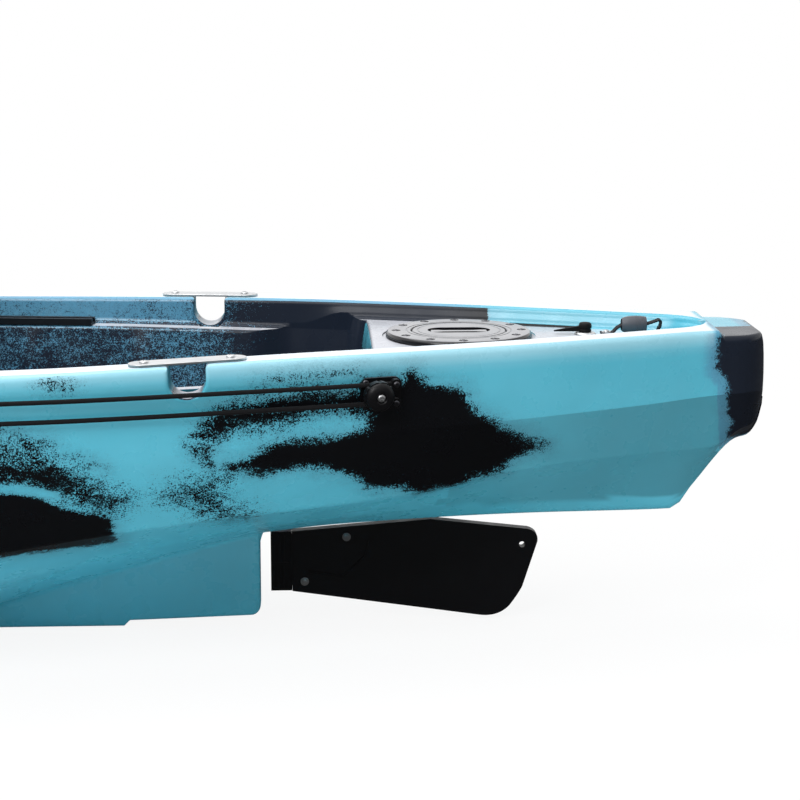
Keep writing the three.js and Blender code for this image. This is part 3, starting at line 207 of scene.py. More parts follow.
# Objects
def makeObject(name, piece, place=None):
    points, faces = moved(piece, toWorld @ (place or Matrix.Identity(4)))
    mesh = bpy.data.meshes.new(name)
    mesh.from_pydata([tuple(p) for p in points], [], faces)
    mesh.update()
    obj = bpy.data.objects.new(name, mesh)
    scene.collection.objects.link(obj)
    return obj


def settle(obj):
    bpy.context.view_layer.update()
    shaped = obj.evaluated_get(bpy.context.evaluated_depsgraph_get())
    mesh = bpy.data.meshes.new_from_object(shaped)
    old = obj.data
    obj.modifiers.clear()
    obj.data = mesh
    mesh.name = obj.name
    bpy.data.meshes.remove(old)


def faceOutwards(obj, merge=True):
    nearest = 2e-6
    work = bmesh.new()
    work.from_mesh(obj.data)
    if merge:
        bmesh.ops.remove_doubles(work, verts=work.verts, dist=nearest)
        bmesh.ops.dissolve_degenerate(work, edges=work.edges, dist=nearest)
    bmesh.ops.recalc_face_normals(work, faces=work.faces)
    work.to_mesh(obj.data)
    work.free()


def boolean(obj, tools, operation):
    for tool in tools:
        other = makeObject("tool", tool) if isinstance(tool, tuple) else tool
        faceOutwards(other)
        modifier = obj.modifiers.new("boolean", "BOOLEAN")
        modifier.object = other
        modifier.operation = operation
        modifier.solver = "MANIFOLD"
        settle(obj)
        mesh = other.data
        bpy.data.objects.remove(other)
        bpy.data.meshes.remove(mesh)


def makeSolid(name, piece, add=(), cut=(), place=None):
    place = place or Matrix.Identity(4)
    obj = makeObject(name, piece, place)
    faceOutwards(obj)
    boolean(obj, [moved(tool, place) for tool in add], "UNION")
    boolean(obj, [moved(tool, place) for tool in cut], "DIFFERENCE")
    return obj


# Rounded edges (width in mm) and clean shading
def soften(obj, width=0.5, segments=3, angle=32):
    if width:
        bevel = obj.modifiers.new("bevel", "BEVEL")
        bevel.width = width * 0.001
        bevel.segments = segments
        bevel.limit_method = "ANGLE"
        bevel.angle_limit = math.radians(angle)
        bevel.miter_outer = "MITER_ARC"
        settle(obj)
    shade(obj, angle)
    return obj


def shade(obj, angle=32):
    mesh = obj.data
    mesh.shade_smooth()
    mesh.set_sharp_from_angle(angle=math.radians(angle))
    weighted = obj.modifiers.new("weighted", "WEIGHTED_NORMAL")
    weighted.keep_sharp = True
    settle(obj)
    return obj


def finishPiece(obj, body, slot, material, nodes=()):
    obj.data.materials.clear()
    obj.data.materials.append(material)
    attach(obj, body)
    if nodes:
        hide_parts(*nodes)
    return obj


# Materials
class Nodes:
    def __init__(self, tree):
        self.tree = tree

    def make(self, kind, **settings):
        node = self.tree.nodes.new(kind)
        for key, value in settings.items():
            setattr(node, key, value)
        return node

    def feed(self, node, **inputs):
        for key, value in inputs.items():
            byIndex = key[0] == "i" and key[1:].isdigit()
            socket = node.inputs[int(key[1:]) if byIndex else key.replace("_", " ")]
            if isinstance(value, bpy.types.NodeSocket):
                self.tree.links.new(value, socket)
            else:
                socket.default_value = value
        return node

    def math(self, operation, a, b=0.0):
        node = self.make("ShaderNodeMath", operation=operation)
        return self.feed(node, i0=a, i1=b).outputs[0]

    def plus(self, a, b):
        return self.math("ADD", a, b)

    def minus(self, a, b):
        return self.math("SUBTRACT", a, b)

    def times(self, a, b):
        return self.math("MULTIPLY", a, b)

    def noise(self, where, scale, detail=3.0, rough=0.55, twist=0.0):
        node = self.make("ShaderNodeTexNoise")
        self.feed(node, Vector=where, Scale=scale, Detail=detail, Roughness=rough, Distortion=twist)
        return node.outputs["Fac"]

    def mapped(self, where, scale=(1, 1, 1), turn=(0, 0, 0)):
        node = self.make("ShaderNodeMapping")
        return self.feed(node, Vector=where, Scale=scale, Rotation=turn).outputs[0]

    def between(self, value, low, high, to0=0.0, to1=1.0):
        node = self.make("ShaderNodeMapRange", interpolation_type="SMOOTHSTEP")
        return self.feed(node, i0=value, i1=low, i2=high, i3=to0, i4=to1).outputs[0]

    def mix(self, share, a, b):
        node = self.make("ShaderNodeMix", data_type="RGBA")
        return self.feed(node, i0=share, i6=a, i7=b).outputs[2]

    def bump(self, height, strength=0.2, distance=0.001):
        node = self.make("ShaderNodeBump")
        return self.feed(node, Strength=strength, Distance=distance, Height=height).outputs[0]

    def group(self, tree, **inputs):
        node = self.make("ShaderNodeGroup")
        node.node_tree = tree
        return self.feed(node, **inputs)

    def attribute(self, name, output="Fac"):
        return self.make("ShaderNodeAttribute", attribute_name=name).outputs[output]

    def scaled(self, color, share):
        node = self.make("ShaderNodeVectorMath", operation="SCALE")
        return self.feed(node, i0=color, Scale=share).outputs[0]


def newGroup(name, inputs, outputs):
    tree = bpy.data.node_groups.new(name, "ShaderNodeTree")
    for key, kind, value in inputs:
        socket = tree.interface.new_socket(key, in_out="INPUT", socket_type=kind)
        if value is not None:
            socket.default_value = value
    for key, kind in outputs:
        tree.interface.new_socket(key, in_out="OUTPUT", socket_type=kind)
    make = Nodes(tree)
    return make, tree, tree.nodes.new("NodeGroupInput").outputs, tree.nodes.new("NodeGroupOutput").inputs


def newMaterial(name, **fixed):
    material = bpy.data.materials.new(name)
    material.use_nodes = True
    tree = material.node_tree
    make = Nodes(tree)
    shader = tree.nodes["Principled BSDF"]
    for key, value in fixed.items():
        shader.inputs[key.replace("_", " ")].default_value = value
    where = make.make("ShaderNodeTexCoord").outputs["Object"]
    return material, make, shader, where


# Moulded plastic skin: colour drift, patchy gloss, fine ripple and a few scuffs
def plasticSkinGroup():
    make, tree, given, out = newGroup(
        "plasticSkin",
        [("Where", "NodeSocketVector", None), ("Color", "NodeSocketColor", (0.5, 0.5, 0.5, 1)),
         ("Drift", "NodeSocketFloat", 0.06), ("Grain Scale", "NodeSocketFloat", 900.0),
         ("Grain", "NodeSocketFloat", 0.08), ("Gloss Low", "NodeSocketFloat", 0.3),
         ("Gloss High", "NodeSocketFloat", 0.45), ("Scuff", "NodeSocketFloat", 0.25)],
        [("Color", "NodeSocketColor"), ("Roughness", "NodeSocketFloat"), ("Normal", "NodeSocketVector")])
    where = given["Where"]
    cloud = make.noise(where, 7.0, 4.0, 0.6)
    dark = make.minus(1.0, make.times(make.between(cloud, 0.35, 0.7), given["Drift"]))
    tone = make.scaled(given["Color"], dark)
    stretched = make.mapped(where, (0.35, 1.0, 4.0), (0.2, 0.4, 0.1))
    hairs = make.between(make.noise(stretched, 120.0, 6.0, 0.75, 0.6), 0.66, 0.74)
    patch = make.between(make.noise(where, 11.0, 2.0), 0.5, 0.7)
    scuff = make.times(make.times(hairs, patch), given["Scuff"])
    lift = make.mix(scuff, tone, (0.75, 0.78, 0.8, 1))
    gloss = make.make("ShaderNodeMapRange")
    make.feed(gloss, i0=make.noise(where, 23.0, 3.0), i1=0.3, i2=0.7, i3=given["Gloss Low"],
              i4=given["Gloss High"])
    rough = make.plus(gloss.outputs[0], make.times(scuff, 0.4))
    grain = make.noise(where, given["Grain Scale"], 2.0)
    ripple = make.times(make.noise(where, 30.0, 2.0), 2.5)
    height = make.plus(make.times(grain, given["Grain"]), make.times(ripple, 0.1))
    tree.links.new(lift, out["Color"])
    tree.links.new(rough, out["Roughness"])
    tree.links.new(make.bump(height, 0.35, 0.0006), out["Normal"])
    return tree


plasticSkin = plasticSkinGroup()


# Leads a group's colour, gloss and relief to the shader; a socket named here goes instead of the group's
def wire(make, node, shader, **own):
    for key, socket in (("Color", "Base Color"), ("Roughness", "Roughness"), ("Normal", "Normal")):
        make.tree.links.new(own[key] if key in own else node.outputs[key], shader.inputs[socket])


def plastic(name, color, gloss=(0.34, 0.5), grain=0.25, scale=900.0, drift=0.12, scuff=0.12, shine=0.3,
            duskAndSheen=0.1):
    material, make, shader, where = newMaterial(name, IOR=1.48, Specular_IOR_Level=shine)
    node = make.group(plasticSkin, Where=where, Color=(*color, 1), Drift=drift, Grain=grain, Scuff=scuff,
                      Grain_Scale=scale, Gloss_Low=gloss[0], Gloss_High=gloss[1])
    # Painted reflection: the colour is mixed towards pale grey on level faces seen at a low angle
    wire(make, node, shader, Color=glare(make, node.outputs["Color"], (0.7, 0.71, 0.76), duskAndSheen))
    return material


# Brushed metal: fine streaks along a chosen direction, dull patches and a few pits
def brushedGroup():
    make, tree, given, out = newGroup(
        "brushed",
        [("Where", "NodeSocketVector", None), ("Color", "NodeSocketColor", (0.6, 0.6, 0.6, 1)),
         ("Stretch", "NodeSocketVector", (1, 12, 12)), ("Gloss", "NodeSocketFloat", 0.3),
         ("Streaks", "NodeSocketFloat", 0.15)],
        [("Color", "NodeSocketColor"), ("Roughness", "NodeSocketFloat"), ("Normal", "NodeSocketVector")])
    pull = make.make("ShaderNodeVectorMath", operation="MULTIPLY")
    make.feed(pull, i0=given["Where"], i1=given["Stretch"])
    streak = make.noise(pull.outputs[0], 140.0, 5.0, 0.7)
    dull = make.between(make.noise(given["Where"], 45.0, 4.0), 0.4, 0.75)
    shadeOf = make.minus(1.0, make.times(dull, 0.18))
    tone = make.scaled(given["Color"], shadeOf)
    rough = make.plus(given["Gloss"], make.times(streak, given["Streaks"]))
    rough = make.plus(rough, make.times(dull, 0.08))
    tree.links.new(tone, out["Color"])
    tree.links.new(rough, out["Roughness"])
    tree.links.new(make.bump(streak, 0.12, 0.0003), out["Normal"])
    return tree


brushed = brushedGroup()


def metal(name, color, gloss=0.34, stretch=(1, 12, 12), streaks=0.18):
    material, make, shader, where = newMaterial(name, Metallic=1.0)
    node = make.group(brushed, Where=where, Color=(*color, 1), Stretch=stretch, Gloss=gloss, Streaks=streaks)
    wire(make, node, shader)
    return material


# Painted reflection of the sky: the colour of level faces seen at a low angle is mixed towards a pale sheen
def glare(make, color, sheen, share):
    facing = make.make("ShaderNodeLayerWeight").outputs["Facing"]
    normal = make.make("ShaderNodeSeparateXYZ")
    make.feed(normal, i0=make.make("ShaderNodeNewGeometry").outputs["Normal"])
    low = make.between(facing, 0.58, 0.8)
    level = make.between(normal.outputs[2], 0.45, 0.97)
    return make.mix(make.times(make.times(low, level), share), color, (*sheen, 1))


# Moulded-in camouflage of the hull, with the colours and amounts of the light painted on it. Patches are
# outlines in (s, z) with the spread of their spatter in mm.
camouflageAndLight = {
    "turquoise": (0.078, 0.405, 0.530),
    "black": (0.003, 0.0034, 0.0045),
    "dusk": (0.035, 0.07, 0.11),
    # Painted shade: the darker, bluer turquoise and the bluer black of the wells and the stern tip
    "shadedInsideTurquoise": (0.075, 0.27, 0.42),
    "shadedInsideBlack": (0.011, 0.016, 0.028),
    # Painted light: glare is the colour of the painted sky reflection on level faces, edge that of the
    # painted highlight under the rim
    "glare": (0.74, 0.76, 0.82), "edge": (0.50, 0.72, 0.80),
    "wander": 30.0,
    "flow": 18.0,
    "patches": {
        "aftCloud": (26, [(1077, 328), (1019, 322), (991, 323), (960, 318), (936, 307), (921, 293),
                          (903, 275), (876, 262), (870, 253), (890, 237), (912, 242), (946, 259), (977, 270),
                          (1022, 286), (1080, 293)]),
        "aftSolid": (5, [(1120, 283), (1022, 283), (995, 279), (973, 267), (947, 251), (920, 243), (893, 235),
                         (892, 211), (891, 180), (912, 178), (973, 178), (1034, 176), (1120, 176)]),
        "upperBand": (15, [(787, 333), (781, 345), (771, 358), (755, 369), (732, 377), (699, 381), (658, 384),
                           (617, 385), (579, 388), (550, 391), (516, 397), (515, 337), (548, 334), (562, 346),
                           (579, 357), (600, 363), (632, 358), (665, 353), (700, 347), (733, 340), (755, 334),
                           (774, 328)]),
        "tongue": (10, [(788, 318), (774, 326), (745, 334), (757, 324), (766, 312), (765, 293), (771, 300),
                        (777, 310)]),
        "lowerBand": (9, [(751, 290), (721, 304), (694, 316), (667, 324), (638, 326), (596, 329), (567, 331),
                          (543, 333), (500, 335), (500, 245), (544, 247), (570, 258), (594, 271), (613, 275),
                          (639, 283), (659, 287), (680, 284), (701, 278), (726, 283)]),
        "middle": (9, [(566, 400), (541, 403), (523, 397), (513, 411), (503, 412), (494, 396), (481, 387),
                       (457, 380), (436, 373), (426, 350), (406, 336), (381, 319), (355, 309), (329, 295),
                       (321, 288), (340, 284), (353, 276), (371, 272), (372, 253), (415, 246), (460, 237),
                       (500, 235), (515, 245), (565, 249)]),
        "trail": (34, [(821, 257), (801, 266), (776, 270), (747, 279), (768, 261), (744, 234), (718, 216),
                       (726, 208), (749, 211), (774, 225), (794, 247)]),
        "tip": (6, [(86, 425), (88, 400), (84, 383), (76, 369), (68, 354), (68, 331), (64, 307), (60, 270),
                    (-30, 270), (-30, 450), (35, 450), (62, 437)]),
        "mark": (16, [(966, 418), (946, 418), (936, 412), (953, 414)]),
    },
    "gaps": [[(1046, 285), (999, 285), (972, 277), (949, 268), (965, 266), (1000, 276), (1047, 279)]],
    "mist": [(34, [(723, 410), (679, 413), (633, 420), (592, 421), (562, 425), (575, 401), (633, 397),
                   (683, 397), (711, 396)]),
             (30, [(1077, 372), (1010, 366), (960, 345), (900, 320), (880, 290), (960, 318), (1020, 322)])],
    "innerWall": [(60, -70), (300, -70), (368, -46), (388, 60), (600, 60), (660, 22), (745, 10), (850, -9),
                  (1000, -12), (1240, -9), (1345, -30)],
    "lowerWall": [(556, 60), (640, 40), (700, 26), (760, 8), (840, 0), (900, 4), (960, 9), (1060, 8),
                  (1240, 8), (1345, -30)],
    # Painted shade: how much the outer panel below the knuckle is darkened, by station from the stern
    "paintedLowerShade": [(0, 0.42), (240, 0.36), (420, 0.2), (640, 0.06), (900, 0.0)],
    "platform": [(60, -80), (190, -60), (236, -14), (262, 50), (600, 70), (700, 10), (1240, -10)],
    "repeats": [(1080, 0.95, 20), (1990, 1.05, -8), (2700, 0.8, 60)],
}


def hullPlastic():
    material, make, shader, where = newMaterial("hullPlastic", IOR=1.5)
    ink = make.attribute("ink")
    scatter = make.attribute("scatter")
    centred = lambda value, reach: make.times(make.minus(value, 0.5), reach)
    wander = make.noise(make.mapped(where, (0.55, 1, 1)), 15.0, 5.0, 0.6, 0.3)
    flow = make.noise(make.mapped(where, (0.22, 1.2, 1.6), (0, 0.05, 0)), 60.0, 4.0, 0.62)
    field = make.plus(ink, centred(wander, camouflageAndLight["wander"]))
    field = make.plus(field, centred(flow, camouflageAndLight["flow"]))
    fine = centred(make.noise(where, 460.0, 2.0, 0.6), 3.6)
    grains = centred(make.noise(where, 1150.0, 1.0, 0.5), 2.6)
    clouds = centred(make.noise(where, 95.0, 2.0, 0.6), 1.6)
    spatter = make.plus(make.plus(fine, grains), clouds)
    field = make.plus(field, make.times(spatter, scatter))
    black = make.between(field, -1.6, 1.6)
    turquoise, blackTone = camouflageAndLight["turquoise"], camouflageAndLight["black"]
    tint = make.between(make.noise(make.mapped(where, (0.4, 1, 1.5)), 5.0, 3.0), 0.3, 0.75)
    base = make.mix(tint, (*turquoise, 1), (turquoise[0] * 0.82, turquoise[1] * 0.94, turquoise[2] * 0.95, 1))
    # Painted shade: wells and the stern tip take the darker, bluer inside colours
    inside = make.attribute("inside")
    base = make.mix(inside, base, (*camouflageAndLight["shadedInsideTurquoise"], 1))
    # Painted highlight: a pale band on the outer side just under the rim
    edgeLight = make.attribute("pale")
    base = make.mix(edgeLight, base, (*camouflageAndLight["edge"], 1))
    duskAndSheen = make.times(make.between(field, -26.0, 4.0), 0.3)
    base = make.mix(duskAndSheen, base, (*camouflageAndLight["dusk"], 1))
    dark = make.mix(inside, (*blackTone, 1), (*camouflageAndLight["shadedInsideBlack"], 1))
    # Painted shade darkens by this share; negative values are painted light
    shaded = make.attribute("shaded")
    tone = make.scaled(make.mix(black, base, dark), make.minus(1.0, shaded))
    # Painted reflection of the sky on level faces, by the sheen share
    sheen = make.attribute("sheen")
    color = glare(make, tone, camouflageAndLight["glare"], sheen)
    node = make.group(plasticSkin, Where=where, Color=color, Drift=0.06, Grain=0.10, Scuff=0.05,
                      Grain_Scale=500.0, Gloss_Low=0.24, Gloss_High=0.33)
    wire(make, node, shader)
    make.tree.links.new(make.between(black, 0.0, 1.0, 0.5, 0.14), shader.inputs["Specular IOR Level"])
    return material


# Distance in mm into an outline, negative outside it
def depthInto(s, z, outline):
    a = np.array(outline, float)
    b = np.roll(a, -1, axis=0)
    best = np.full(len(s), 1e9)
    inside = np.zeros(len(s), bool)
    for (ax, az), (bx, bz) in zip(a, b):
        run = (bx - ax) ** 2 + (bz - az) ** 2
        t = np.clip(((s - ax) * (bx - ax) + (z - az) * (bz - az)) / run, 0, 1)
        best = np.minimum(best, np.hypot(s - ax - t * (bx - ax), z - az - t * (bz - az)))
        crosses = (az > z) != (bz > z)
        rise = bz - az if abs(bz - az) > 1e-9 else 1e-9
        inside ^= crosses & (s < ax + (z - az) * (bx - ax) / rise)
    return np.where(inside, best, -best)


# Depth and spread of the patches on a side of the hull
def sideInk(s, z):
    ink, spread = np.full(len(s), -400.0), np.full(len(s), 8.0)

    def lay(depth, width):
        reach = depth + 0.35 * width
        better = reach > ink + 0.35 * spread
        ink[better] = depth[better]
        spread[better] = width
    shapes = camouflageAndLight["patches"]
    for width, outline in shapes.values():
        lay(depthInto(s, z, outline), width)
    for shift, share, rise in camouflageAndLight["repeats"]:
        for key in ("upperBand", "lowerBand", "middle", "aftCloud", "trail"):
            width, outline = shapes[key]
            shifted = [(shift + x * share, y * share - rise + 20) for x, y in outline]
            lay(depthInto(s, z, shifted), width)
    for outline in camouflageAndLight["gaps"]:
        depth = depthInto(s, z, outline)
        hole = depth > -6
        ink[hole] = np.minimum(ink[hole], -2.5 * (depth[hole] + 4))
        spread[hole] = 9
    for width, outline in camouflageAndLight["mist"]:
        depth = np.minimum(depthInto(s, z, outline), 8) - 11
        better = depth > ink
        ink[better] = depth[better]
        spread[better] = width * 0.36
    return ink, spread


# One number or vector for each of a mesh's vertices, faces or corners
def readAll(items, key, wide=1, kind=float):
    flat = np.zeros(wide * len(items), kind)
    items.foreach_get(key, flat)
    return flat.reshape(-1, wide) if wide > 1 else flat


# Writes how deep in black each face corner lies and how far the spatter spreads there, and the painted light:
# painted shade in the wells, at the stern tip and on the lower panel, painted light on the low sides, the
# share of painted sky reflection and a painted highlight under the rim
def paintCamouflageAndLight(obj):
    mesh = obj.data
    tipEnd, foreFrom = 84, 1345
    corner = readAll(mesh.loops, "vertex_index", 1, np.int32)
    points = readAll(mesh.vertices, "co", 3)[corner] * 1000
    sizes = readAll(mesh.polygons, "loop_total", 1, np.int32)
    normals = np.repeat(readAll(mesh.polygons, "normal", 3), sizes, axis=0)
    s, y, z = points[:, 0] + hullLength / 2, points[:, 1], points[:, 2]
    port = y > 0
    side = np.where(port, 1, -1)
    outward = normals[:, 1] * side
    ink, spread = sideInk(np.where(port, s, 0.94 * s + 70), z)
    free = (60 * np.sin(s / 190 + 1.7 * np.sin(y / 150 + 0.6))
            + 45 * np.sin(s / 83 - y / 110 + 2 * np.sin(s / 240))
            - 62)
    inner = (outward < -0.15) & (normals[:, 2] > -0.3)
    wallInk = np.where(z > 383, np.interp(s, *np.array(camouflageAndLight["innerWall"], float).T),
                       np.interp(s, *np.array(camouflageAndLight["lowerWall"], float).T))
    ahead = s > foreFrom
    ink = np.where(inner, np.where(ahead, free, wallInk), ink)
    spread = np.where(inner, np.where(s < 610, 6, np.where(ahead, 16, 17)), spread)
    level = normals[:, 2] > 0.6
    rim = level & (z > 417)
    low = level & ~rim
    ink = np.where(rim & (s > tipEnd), np.where(s > 2700, free, np.maximum(-70, ink - 90)), ink)
    platformInk = np.interp(s, *np.array(camouflageAndLight["platform"], float).T)
    ink = np.where(low & (s > tipEnd), np.where(ahead, free, platformInk), ink)
    spread = np.where(low & (s > tipEnd), np.where(s < 600, 7, 16), spread)
    # Painted shade: inner walls and well floors, and the stern tip where it is near black, take the inside
    # colours
    inside = np.where((inner | low) & (s > tipEnd) & (s < foreFrom), 1.0, 0.0) * ramp(330, 470, s)
    inside = np.where((s < 104) & (ink > -12), 0.75, inside)
    middle = np.repeat(readAll(mesh.polygons, "center", 3), sizes, axis=0) * 1000
    # Painted shade: the outer panel below the knuckle is darkened, most towards the stern
    under = (outward > 0.5) & (middle[:, 2] < knuckleLine(middle[:, 0] + hullLength / 2))
    shaded = np.where(under, np.interp(s, *np.array(camouflageAndLight["paintedLowerShade"], float).T), 0.0)
    # Painted light: the low outer sides from the skeg forward are lightened
    shaded = np.where((outward > 0.2) & (z < 190), -0.3 * ramp(700, 1000, s) * ramp(200, 120, z), shaded)
    # Share of the painted sky reflection: strongest on the rim, less elsewhere, almost none at the stern tip
    sheen = np.where(s < tipEnd, 0.04, np.where(rim, 0.84, 0.62))
    # Painted highlight: a pale band on the outer side just under the rim, growing towards it
    pale = np.where((outward > 0.2) & (s > tipEnd), 0.5 * ramp(396, 429, z) ** 1.6, 0.0)
    for name, values in (("ink", ink), ("scatter", spread), ("inside", inside), ("shaded", shaded),
                         ("sheen", sheen), ("pale", pale)):
        old = mesh.attributes.get(name)
        if old:
            mesh.attributes.remove(old)
        layer = mesh.attributes.new(name, "FLOAT", "CORNER")
        layer.data.foreach_set("value", values.astype(np.float32))


hullMaterial = hullPlastic()
blackPlastic = plastic("blackPlastic", (0.0035, 0.0036, 0.0045), (0.34, 0.46), 0.22, 900.0, 0.12, 0.04, 0.2)
platePlastic = plastic("platePlastic", (0.008, 0.008, 0.010), (0.16, 0.26), 0.10, 700.0, 0.10, 0.04, 0.4,
                       0.32)
rudderPlastic = plastic("rudderPlastic", (0.0046, 0.0046, 0.0058), (0.34, 0.46), 0.30, 1100.0, 0.10, 0.02,
                        0.2, 0.0)
blackRubber = plastic("blackRubber", (0.005, 0.005, 0.006), (0.62, 0.78), 0.5, 1300.0, 0.15, 0.06, 0.2, 0.0)
greyRubber = plastic("greyRubber", (0.075, 0.078, 0.092), (0.42, 0.56), 0.35, 1000.0, 0.12, 0.08, 0.4)
steel = metal("stainlessSteel", (0.58, 0.59, 0.6))
darkSteel = metal("darkSteel", (0.09, 0.09, 0.10), 0.28)
aluminium = metal("aluminium", (0.55, 0.57, 0.59), 0.3, (1, 9, 9), 0.2)
blackAlloy = metal("blackAlloy", (0.035, 0.036, 0.04), 0.34, (1, 9, 9), 0.16)

# Finishes used by several pieces: slot and material
black, blackScrews = ("black_plastic", blackPlastic), ("black_plastic", darkSteel)
rubber, paleRubber = ("black_rubber", blackRubber), ("grey_rubber", greyRubber)
stainless, bareMetal, blackMetal = ("stainless", steel), ("aluminium", aluminium), ("black_alloy", blackAlloy)
print("stage 2: materials made")


# Smooth line through knots (station, value); a negative station counts back from the bow
def fair(knots):
    xs = np.array([k[0] + (hullLength if k[0] < 0 else 0) for k in knots], float)
    ys = np.array([k[1] for k in knots], float)
    slopes = np.diff(ys) / np.diff(xs)
    inner = slopes[:-1] * slopes[1:]
    total = slopes[:-1] + slopes[1:]
    tangents = np.concatenate([[slopes[0]],
                               np.where(inner <= 0, 0, 2 * inner / np.where(total == 0, 1, total)),
                               [slopes[-1]]])

    def curve(x):
        x = np.asarray(x, float)
        i = np.clip(np.searchsorted(xs, x, side="right") - 1, 0, len(xs) - 2)
        span = xs[i + 1] - xs[i]
        t = np.clip((x - xs[i]) / span, 0, 1)
        rise = ys[i] * (1 + 2 * t) * (1 - t) ** 2 + ys[i + 1] * t * t * (3 - 2 * t)
        return rise + span * t * (1 - t) * (tangents[i] * (1 - t) - tangents[i + 1] * t)
    return curve


def ramp(low, high, x):
    t = np.clip((np.asarray(x, float) - low) / (high - low), 0, 1)
    return t * t * (3 - 2 * t)


hullSizes = {
    "beam": 800.0, "rimHeight": 431.0, "bowDeck": 440.0, "rimWidth": 52.0, "rimRound": 10.0, "wall": 4.5,
    "ledgeZ": 387.0, "platformZ": 405.0, "crown": 8.0, "tipTop": 423.0, "tipEnd": 72.0, "tipRamp": 80.0,
    "platformFrom": 86.0, "tankwellFrom": 556.0, "tankwellTo": 1235.0, "tankwellFloor": 255.0,
    "ledgeWidth": 36.0, "cockpitFrom": 1345.0, "seatBayTo": 1790.0, "seatBayHalf": 268.0,
    "seatShelf": 300.0, "cockpitTo": 2840.0, "footwellFloor": 150.0, "footwellHalf": 245.0,
    "channelHalf": 140.0, "skegHalf": 22.0, "skegRound": 5.0, "skegRoot": 16.0,
    "notchAt": 791.5, "notchHalf": 23.0, "notchDepth": 42.0, "edgeRound": 5.0,
    "plateAt": 430.0, "plateSeatZ": 411.0, "rudderAxis": 683.0, "hatchFrom": 2950.0, "hatchLength": 290.0,
    "hatchHalfAft": 150, "hatchHalfFore": 112, "hatchCorner": 40, "hingeAt": 3276.0, "hingeZ": 452.0,
    "rodHolderAt": 1284.0, "rodHolderSide": 262.0, "rodHolderLean": 10, "slotAt": 2040, "slotLength": 460,
    "slotWidth": 104, "drainRadius": 13, "stepFrom": 590, "stepTo": 650, "skegFrom": 698.5, "skegEdge": 712,
    "skegFull": 726, "skegTo": 1290,
}
beamShare = fair([[60, 0.225], [104, 0.245], [200, 0.335], [400, 0.518], [700, 0.73], [1000, 0.89],
                  [1400, 0.98], [1900, 1], [-1200, 0.97], [-800, 0.845], [-500, 0.67], [-200, 0.375],
                  [-50, 0.155], [hullLength, 0.03]])
bottomLine = fair([[0, 322], [3, 310], [10, 286], [24, 270], [40, 266], [102, 199], [129, 167], [340, 163],
                   [584, 152], [704, 140], [800, 118], [940, 82], [1080, 42], [1200, 8], [1270, 0],
                   [-600, 0], [-450, 8], [-300, 40], [-180, 110], [-90, 210], [-30, 320],
                   [hullLength, 420]])
sheerLine = fair([[0, 345], [4, 375], [9, 412], [18, 428], [40, 431], [600, 431], [1000, 425.5],
                  [1800, 420], [-1100, 428], [-750, 440], [-260, 440], [-100, 462], [-20, 470],
                  [hullLength, 455]])
chineLine = fair([[0, 328], [30, 285], [104, 264], [240, 262], [380, 252], [520, 230], [650, 221],
                  [800, 211], [907, 201], [1065, 181], [1400, 140], [1800, 118], [-1200, 112], [-700, 140],
                  [-400, 200], [-150, 300], [hullLength, 430]])
knuckleLine = fair([[0, 335], [30, 343], [170, 336], [600, 325], [1000, 305], [1800, 285], [-700, 300],
                    [hullLength, 440]])
padLine = fair([[0, 10], [150, 30], [700, 30], [1300, 42], [-700, 42], [hullLength, 4]])
creaseRound = fair([[0, 3], [150, 4], [260, 40], [600, 120]])


def halfBeam(s):
    s = np.asarray(s, float)
    rest = np.clip((60 - s) / 60, 0, 1)
    tip = np.maximum(0.03, 0.225 * np.sqrt(1 - rest * rest))
    return np.where(s >= 60, beamShare(np.maximum(s, 60)), tip) * hullSizes["beam"] / 2


def topLine(s):
    tip = np.interp(s, [hullSizes["tipEnd"], hullSizes["tipRamp"]],
                    [hullSizes["tipTop"], hullSizes["rimHeight"]])
    return np.where(s < hullSizes["tipRamp"], np.minimum(sheerLine(s), tip), sheerLine(s))


def insideRim(s):
    return halfBeam(s) - hullSizes["rimWidth"]


# Points added after a point of the section, so that the sides carry their colours
sectionFill = {12: 1, 17: 2, 22: 2, 29: 3, 34: 3, 39: 6, 43: 1, 50: 8}


# Underside of the skeg; None where the hull bottom has none
def skegBottom(s):
    edge, full, last, corner = hullSizes["skegEdge"], hullSizes["skegFull"], hullSizes["skegTo"], 14
    if s < hullSizes["skegFrom"] or s > last:
        return None
    if s < edge:
        t = (edge - s) / corner
        return float(112 + 32 * math.sqrt(t) + 6 * t)
    if s < full:
        t = math.sqrt(max(0.0, 1 - ((full - s) / corner) ** 2))
        return 27 - corner * t
    return float(np.interp(s, [full, 898, 906, last], [13, 8, 0, 0]))


